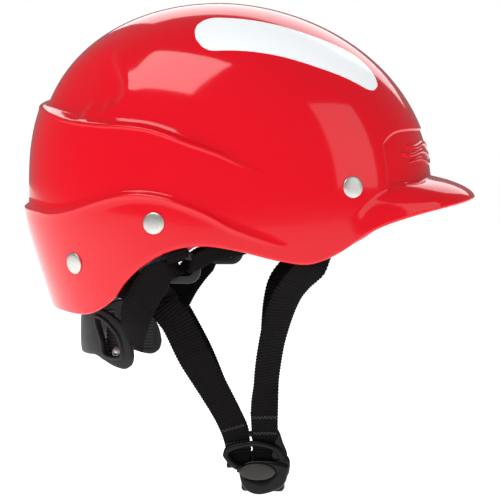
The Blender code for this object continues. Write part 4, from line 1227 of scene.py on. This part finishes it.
def wall_ways(route, path, side):
    """The width's direction for tape that lies against the shell's wall."""
    ways = []
    for i, (x, z, _) in enumerate(route):
        angle = math.degrees(math.atan2(side_reach(x, z, 0), x - PLAN_CENTRE_X))
        along = path[min(i + 1, len(path) - 1)] - path[max(i - 1, 0)]
        way = along.cross(normal_at(plain_point, side * angle, SHELL_TOP - z)).normalized()
        ways.append(way if way.x > 0 else -way)
    return ways


def length_of(points):
    return sum((b - a).length for a, b in zip(points, points[1:]))


def make_chin_straps(name, side, looks):
    """Each strap is one tape, from its rivet inside the shell to the bar it is sewn round."""
    step = RIB_PITCH / RIB_STEPS
    for strap, route, ways in CHIN_STRAPS[name]:
        anchor = ANCHOR_ROUTES[f"{strap}_{name}"]
        upper = [gap_point(x, z, side, extra) for x, z, extra in anchor]
        upper_ways = wall_ways(anchor, upper, side)
        lower = [Vector((x, side * y, z)) for x, y, z in route]
        control = upper[:-1] + lower
        path = spline(control, step)
        share = length_of(upper[:-1] + lower[:1]) / length_of(control)
        keys = even_keys(upper_ways, 0.0, share * 0.9)
        keys += even_keys([Vector((x, side * y, z)) for x, y, z in ways], share * 1.08, 1.0)
        sides = sides_along(path, keys)
        widths = eased_widths(len(path), WEB_WIDTH, FRAME_WEB_WIDTHS[f"{strap}_{name}"])
        start, sweep = (0, -180) if side > 0 else (180, 180)
        doubled = turned_back(path, sides, widths, WEB_BARS[name], start, sweep, DOUBLED_LENGTH[strap])
        body = name + "_harness"
        tape = webbing(f"{strap}_strap_tape_{name}", *doubled, looks["web"])
        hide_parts(f"{strap}_strap_{name}", f"{strap}_anchor_{name}")
        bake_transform(tape)
        top = DOUBLED_LENGTH[strap] - 3
        bartack(
            f"{strap}_bartack_{name}", path, sides, widths, (top, top - 11), (0, side, 0), looks["thread"], body,
        )


def make_ring_tapes(name, side, looks):
    """The tape that holds the ring, the forward strap through it and the strap back to the brace."""
    step = RIB_PITCH / RIB_STEPS
    x, z = RING_PLACE
    ring = gap_point(x, z, side, RING_INBOARD)
    route = ANCHOR_ROUTES["ring"]
    upper = [gap_point(px, pz, side, extra) for px, pz, extra in route]
    bar = (ring.y, z + RING_BAR_RISE, RING_BAR_TURN)
    upper = upper[:-1] + [
        Vector((-24.2, ring.y + side * 1.6, -125.4)),
        Vector((-22.3, ring.y + side * (RING_BAR_TURN - 0.2), -128.2)),
        Vector((-21.5, ring.y + side * RING_BAR_TURN, bar[1])),
    ]
    path = spline(upper, step)
    ways = wall_ways(route, [gap_point(px, pz, side, extra) for px, pz, extra in route], side)
    sides = sides_along(path, even_keys(ways[:-1] + [Vector((0.96, 0, 0.1)), Vector((1, 0, 0))]))
    widths = eased_widths(len(path), WEB_WIDTH, 13.5)
    start, sweep = (0, -180) if side > 0 else (180, 180)
    tape = webbing("ring_tape_" + name, *turned_back(path, sides, widths, bar, start, sweep, 9), looks["web"])
    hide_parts("ring_anchor_" + name)
    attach(tape, "helmet")

    path = spline([gap_point(px, pz, side, extra) for px, pz, extra in SIDE_STRAP_LOOP], step)
    sides = sides_along(path, even_keys([Vector((0.2, 0, 1)), Vector((0.25, 0, 1))]))
    count = len(path)
    widths = [9.5 + (WEB_WIDTH - 9.5) * ease(i / count, 0.5, 0.8) for i in range(count)]
    tape = webbing("forward_tape_" + name, path, sides, widths, looks["web"])
    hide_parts("side_strap_" + name)
    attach(tape, "helmet")

    path = spline([(px, side * py, pz) for px, py, pz in BRACE_STRAP_ROUTE], step)
    ways = [(0.6, 0, -0.8), (0.75, 0, -0.65), (0.92, 0, -0.4), (0.9, side * 0.3, -0.2), (0.6, side * 0.75, 0)]
    sides = sides_along(path, even_keys(ways))
    count = len(path)
    widths = [11 + 9 * ease(i / count, 0.06, 0.25) - 8 * ease(i / count, 0.6, 1.0) for i in range(count)]
    tape = webbing("brace_tape_" + name, path, sides, widths, looks["web"])
    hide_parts("brace_strap_" + name)
    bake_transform(tape)


# ---- moulded hardware -------------------------------------------------------------------------
def polar(loop, centre, count):
    """A loop read again at even angles about a point inside it."""
    middle = Vector(centre)
    spots = sorted((math.atan2(p.y - middle.y, p.x - middle.x) % math.tau, (p - middle).length) for p in loop)
    spots = [(spots[-1][0] - math.tau, spots[-1][1])] + spots + [(spots[0][0] + math.tau, spots[0][1])]
    made, k = [], 0
    for n in range(count):
        turn = math.tau * n / count
        while spots[k + 1][0] < turn:
            k += 1
        (a, near), (b, far) = spots[k], spots[k + 1]
        reach = near + (far - near) * (turn - a) / (b - a)
        made.append(middle + Vector((math.cos(turn), math.sin(turn))) * reach)
    return made


def flat_place(place):
    """Puts (x, z) of an outline and y of a level into the world, for plates that face along Y."""
    return lambda spot, level: Vector(place) + Vector((spot.x, level, spot.y))


def moulding(name, loop, levels, put):
    """A solid through one outline at several levels; levels are (level, inset) pairs."""
    rows = [[put(spot, level) for spot in moved_in(loop, inset)] for level, inset in levels]
    return skin(name, rows)


def ring_moulding(name, outer, inner, low, high, put, edge=1.0):
    """A frame with rounded edges between two matching outlines."""
    bends = [math.radians(a) for a in (0, 30, 60, 90)]
    rows = []
    for loop, sign, order in ((outer, 1, 1), (inner, -1, -1)):
        levels = [(low + edge * (1 - math.sin(a)), edge * (1 - math.cos(a))) for a in reversed(bends)]
        levels += [(high - edge * (1 - math.sin(a)), edge * (1 - math.cos(a))) for a in bends]
        for level, inset in levels[::order]:
            rows.append([put(spot, level) for spot in moved_in(loop, sign * inset)])
    rows.append(rows[0])
    ring = skin(name, rows, caps=False)
    weld(ring)
    return ring


def cross_prism(name, outline, x_start, x_end, place):
    """An outline of (y, z) pairs drawn along X."""
    rows = [[Vector(place) + Vector((x, y, z)) for y, z in outline] for x in (x_start, x_end)]
    return skin(name, rows)


def softened(obj, width, segments=3, angle=35):
    step = obj.modifiers.new("soft_edges", "BEVEL")
    step.width = width * MM
    step.segments = segments
    step.limit_method = "ANGLE"
    step.angle_limit = math.radians(angle)
    return baked(obj)


def rounded_levels(low, high, edge):
    """Levels of a moulding whose ends are rounded over."""
    bends = [math.radians(a) for a in (0, 22, 45, 68, 90)]
    first = [(low + edge * (1 - math.sin(a)), edge * (1 - math.cos(a))) for a in reversed(bends)]
    last = [(high - edge * (1 - math.sin(a)), edge * (1 - math.cos(a))) for a in bends]
    return first + last


def make_buckle(looks):
    put = flat_place(BUCKLE_PLACE)
    outer = polar(closed_curve(FRAME_OUTLINE, 260), (0, 6.2), 150)
    window = polar(closed_curve(FRAME_WINDOW, 260), (0, 6.2), 150)
    frame = ring_moulding("buckle_frame", outer, window, -3.2, 0.8, put, 1.2)
    finish_piece(frame, looks["gloss"], "right_harness", ("buckle_housing",), sharp=45)

    loop = closed_curve(SOCKET_OUTLINE, 150)
    socket = moulding("buckle_socket", loop, rounded_levels(-4.6, 5.4, 2.0), put)
    recess = oval(23, 11.4, BUTTON_CENTRE)
    cut_out(socket, moulding("recess_form", recess, ((-6.5, 0), (-2.1, 0)), put))
    cut_out(socket, cross_prism("pocket_form", POCKET_OUTLINE, -6.4, 14.4, BUCKLE_PLACE))
    softened(socket, 0.35, 2, 50)
    finish_piece(socket, looks["gloss"], "right_harness", (), sharp=40)

    guard = moulding("buckle_guard", closed_curve(GUARD_OUTLINE, 90), rounded_levels(0.2, 2.2, 0.8), put)
    finish_piece(guard, looks["gloss"], "right_harness", ())

    y, z, radius = WEB_BARS["right"]
    bar_radius = radius - WEB_THICKNESS / 2 - 0.3
    profile = [(0, -0.5), (bar_radius, 0), (bar_radius, 33.4), (0, 33.9)]
    bar = turned("buckle_web_bar", profile, (3.3, y, z), (1, 0, 0), 24)
    finish_piece(bar, looks["gloss"], "right_harness", ())

    levels = (
        (-4.5, 0), (-5.2, 0), (-5.6, 0.15), (-5.95, 0.55), (-6.1, 1.1), (-6.18, 1.8), (-6.24, 3.0), (-6.28, 4.6),
    )
    rows = []
    for level, inset in levels:
        loop = oval(22 - 2 * inset, 10.4 - 2 * inset, BUTTON_CENTRE)
        rows.append([put(spot, level) for spot in loop])
    button = skin("release_button_cap", rows)
    finish_piece(button, looks["button"], "release_button", ("release_button",), sharp=50)


def make_tongue(looks):
    tongue = cross_prism("tongue_plate", TONGUE_OUTLINE, -5.4, 13.4, BUCKLE_PLACE)
    cut_out(tongue, cross_prism("slot_form", TONGUE_SLOT, -3.4, 11.4, BUCKLE_PLACE))
    softened(tongue, 0.55, 3, 35)
    finish_piece(tongue, looks["moulded"], "chin_web", ("buckle_tongue",))


def make_divider(looks):
    put = flat_place(DIVIDER_PLACE)
    shape = [(x * 0.95, z) for x, z in FRAME_OUTLINE[:9]]
    shape += [(16, -3), (15.2, -10), (12.5, -12), (-10.5, -12), (-12.4, -9)]
    plate = moulding("strap_divider_plate", closed_curve(shape, 170), rounded_levels(-1.8, 1.8, 0.9), put)
    window = closed_curve([(x * 0.95, z) for x, z in FRAME_WINDOW], 120)
    cut_out(plate, moulding("window_form", window, ((-6, 0), (6, 0)), put))
    cut_out(plate, moulding("slot_form", rounded_box(22, 5, 2, (1, -6.4)), ((-6, 0), (6, 0)), put))
    softened(plate, 0.5, 2, 50)
    finish_piece(plate, looks["gloss"], "left_harness", ("strap_divider",))


def make_ring(name, side, looks):
    x, z = RING_PLACE
    place = gap_point(x, z, side, RING_INBOARD)
    ahead = side_reach(x + 1, -120, 4) - side_reach(x - 1, -120, 4)
    along = Vector((2, side * ahead, 0)).normalized()
    face = Vector((0, 0, 1)).cross(along).normalized()

    def put(spot, level):
        return place + along * spot.x + Vector((0, 0, spot.y)) + face * level

    ring = ring_moulding(
        "adjuster_ring_moulding_" + name, rounded_box(25, 19, 8, steps=14), rounded_box(16, 10, 4, steps=14),
        -1.6, 1.6, put, 1.0,
    )
    finish_piece(ring, looks["moulded"], "helmet", ("adjuster_ring_" + name,), sharp=50)


def make_chin_web(looks):
    step = RIB_PITCH / RIB_STEPS
    path = spline(CHIN_WEB_ROUTE, step)
    sides = sides_along(path, even_keys([(1, 0, 0), (1, 0, 0)]))
    widths = [WEB_WIDTH - 5.6 * (1 - ease(i / len(path), 0.02, 0.2)) for i in range(len(path))]
    layers = turned_back(path, sides, widths, DIVIDER_BAR, -90, 180, 15)
    layers = [list(reversed(line)) for line in layers]
    far_end = len(layers[0]) - len(path)
    path_back, sides_back, widths_back = turned_back(
        list(reversed(path)), list(reversed(sides)), list(reversed(widths)), TONGUE_BAR, -90, -180, 13,
    )
    ends = (path_back, sides_back, widths_back)
    whole = [layer[:far_end] + end for layer, end in zip(layers, ends)]
    tape = webbing("chin_web_tape", *whole, looks["web"])
    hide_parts("chin_web")
    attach(tape, "chin_web")
    low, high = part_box("strap_keeper")
    place = [(a + b) / 2 / MM for a, b in zip(low, high)]
    put = flat_place(place)
    outer, hole = rounded_box(27, 9, 2.5, steps=10), rounded_box(22, 5, 1.5, steps=10)
    keeper = ring_moulding("strap_keeper_loop", outer, hole, -3.0, 3.0, put, 0.7)
    finish_piece(keeper, looks["moulded"], "strap_keeper", ("strap_keeper",), sharp=50)


# ---- rear brace -------------------------------------------------------------------------------
def make_brace(looks, columns=190):
    """A moulded cradle round the nape, with a round-edged window in each wing."""
    rows = []
    half = BRACE_WALL / 2
    for c in range(columns + 1):
        turn = BRACE_TURN * (2 * c / columns - 1)
        high, low = through(BRACE_TOP, abs(turn)), through(BRACE_BOTTOM, abs(turn))
        close = min(1.0, (BRACE_TURN - abs(turn)) / 2.2)
        slim = max(math.sqrt(1 - (1 - close) ** 2), 0.15)
        middle, reach = (high + low) / 2, (high - low) / 2 - half
        line = []
        for k in range(15):
            v = 1 - 2 * k / 14
            bulge = 0.55 * (1 - v**4)
            radius = BRACE_RADIUS - half + (half + bulge) * slim
            line.append(brace_point(turn, middle + reach * v * slim, radius))
        for a in (30, 60, 90, 120, 150):
            a = math.radians(a)
            drop = (reach + half * math.sin(a)) * slim
            line.append(brace_point(turn, middle - drop, BRACE_RADIUS - half + half * math.cos(a) * slim))
        for k in range(15):
            v = 2 * k / 14 - 1
            line.append(brace_point(turn, middle + reach * v * slim, BRACE_RADIUS - half - half * slim))
        for a in (150, 120, 90, 60, 30):
            a = math.radians(a)
            rise = (reach + half * math.sin(a)) * slim
            line.append(brace_point(turn, middle + rise, BRACE_RADIUS - half + half * math.cos(a) * slim))
        rows.append(line)
    brace = skin("nape_brace", rows)
    window = closed_curve(BRACE_WINDOW, 90)
    for _, side in SIDES:
        reaches = (BRACE_RADIUS - 7, BRACE_RADIUS + 4)
        cutter = [[brace_point(side * spot.x, spot.y, reach) for spot in window] for reach in reaches]
        cut_out(brace, skin("window_form", cutter))
    finish_piece(brace, looks["moulded"], "rear_brace", ("rear_brace",), sharp=45)
    for name, side in SIDES:
        loop = closed_curve([(turn * 0.98, z) for turn, z in BRACE_WINDOW], 110)
        line = [brace_point(side * spot.x, spot.y, BRACE_RADIUS + 0.1) for spot in loop]
        tube("brace_window_lip_" + name, line, 1.55, looks["moulded"], "rear_brace")


def make_brace_fittings(name, side, looks):
    step = RIB_PITCH / RIB_STEPS
    turn = side * HANGER_TURN
    top = brace_point(turn, BRACE_AXIS_Z, BRACE_RADIUS - 2.2)
    low = brace_point(turn, -165.8, BRACE_RADIUS - 1.3)
    along = (brace_point(turn + 4, 0, 1) - brace_point(turn - 4, 0, 1)).normalized()
    path = spline([top, (top + low) / 2, low], step)
    tape = webbing("brace_hanger_tape_" + name, path, sides_along(path, even_keys([along, along])),
                   [16] * len(path), looks["web"])
    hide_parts("brace_hanger_" + name)
    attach(tape, "rear_brace")

    place = brace_point(side * STUD_TURN, -193.0, BRACE_RADIUS - 4.5)
    out = (place - Vector((BRACE_CENTRE_X, 0, place.z))).normalized()
    bends = [k * math.pi / 12 for k in range(6)]
    dome = [(2.6 * math.cos(a), 1.1 + 0.95 * math.sin(a)) for a in bends]
    head = [(0, 0), (3.2, 0), (3.2, 0.7), (2.9, 1.0)] + dome + [(0, 2.05)]
    stud = turned("brace_stud_head_" + name, head, place, out, 40)
    finish_piece(stud, looks["steel"], "rear_brace", ("brace_stud_" + name,))

    post = brace_point(side * STUD_TURN, 0, BRACE_RADIUS - 5.0) - out * 0.6
    path = spline([post + Vector((0, 0, z)) for z in (-199.5, -190, -177.5)], step)
    side_way = out.cross(Vector((0, 0, 1)))
    strip = webbing("brace_strip_ladder_" + name, path, sides_along(path, even_keys([side_way, side_way])),
                    [18] * len(path), looks["moulded"], HARDWARE_SLOT, thick=1.0)
    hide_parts("brace_strip_" + name)
    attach(strip, "rear_brace")


# ---- floor, light and camera ------------------------------------------------------------------
def make_floor(looks):
    level = CAD_BOX[0][2] / MM - FLOOR_DROP
    rows = [[Vector((0, 0, level))]]
    turns = [math.tau * k / 64 for k in range(64)]
    for reach in (600, 1500, 3500, FLOOR_RADIUS):
        rows.append([Vector((reach * math.cos(a), reach * math.sin(a), level)) for a in turns])
    floor = skin("studio_floor", rows, caps=False)
    floor.data.materials.append(looks["floor"])


def make_world():
    """White behind the helmet, and a dimmer even light on it."""
    world = bpy.data.worlds.new("studio")
    world.use_nodes = True
    nodes, links = world.node_tree.nodes, world.node_tree.links
    background = nodes["Background"]
    rays = nodes.new("ShaderNodeLightPath")
    strength = nodes.new("ShaderNodeMapRange")
    strength.inputs["To Min"].default_value = WORLD_LIGHT
    strength.inputs["To Max"].default_value = 1.0
    links.new(rays.outputs["Is Camera Ray"], strength.inputs["Value"])
    links.new(strength.outputs["Result"], background.inputs["Strength"])
    background.inputs["Color"].default_value = (1, 1, 1, 1)
    bpy.context.scene.world = world


def make_light(name, place, aim, size, power):
    light = bpy.data.lights.new(name, "AREA")
    light.shape = "RECTANGLE"
    light.size, light.size_y = size
    light.energy = power
    obj = bpy.data.objects.new(name, light)
    obj.location = place
    obj.rotation_euler = (Vector(aim) - Vector(place)).to_track_quat("-Z", "Y").to_euler()
    bpy.context.scene.collection.objects.link(obj)


def make_camera():
    azimuth, elevation = math.radians(CAMERA_AZIMUTH), math.radians(CAMERA_ELEVATION)
    aim = Vector(CAMERA_AIM) * MM
    back = Vector((math.sin(azimuth) * math.cos(elevation), -math.cos(azimuth) * math.cos(elevation),
                   math.sin(elevation)))
    camera = bpy.data.cameras.new("camera")
    camera.sensor_width = SENSOR
    camera.lens = SENSOR * CAMERA_DISTANCE / FIELD_WIDTH
    camera.clip_end = 50
    obj = bpy.data.objects.new("camera", camera)
    obj.location = aim + back * CAMERA_DISTANCE * MM
    obj.rotation_euler = (-back).to_track_quat("-Z", "Y").to_euler()
    bpy.context.scene.collection.objects.link(obj)
    bpy.context.scene.camera = obj


def make_studio(looks):
    make_floor(looks)
    make_world()
    middle = (0, 0, -0.08)
    for name, place, size, power in LIGHTS:
        make_light(name, place, middle, size, power)
    make_camera()
    bpy.context.scene.view_settings.view_transform = "Standard"


# ---- the whole helmet -------------------------------------------------------------------------
def main():
    looks = make_looks()
    make_studio(looks)
    make_shell(looks)
    make_brow_motif(looks)
    make_liner(looks)
    make_pads(looks)
    for name, side in SIDES:
        make_decal(name, side, looks)
        make_rivets(name, side, looks)
        make_ring(name, side, looks)
        make_ring_tapes(name, side, looks)
        make_chin_straps(name, side, looks)
        make_brace_fittings(name, side, looks)
    make_brace(looks)
    make_buckle(looks)
    make_tongue(looks)
    make_divider(looks)
    make_chin_web(looks)


main()
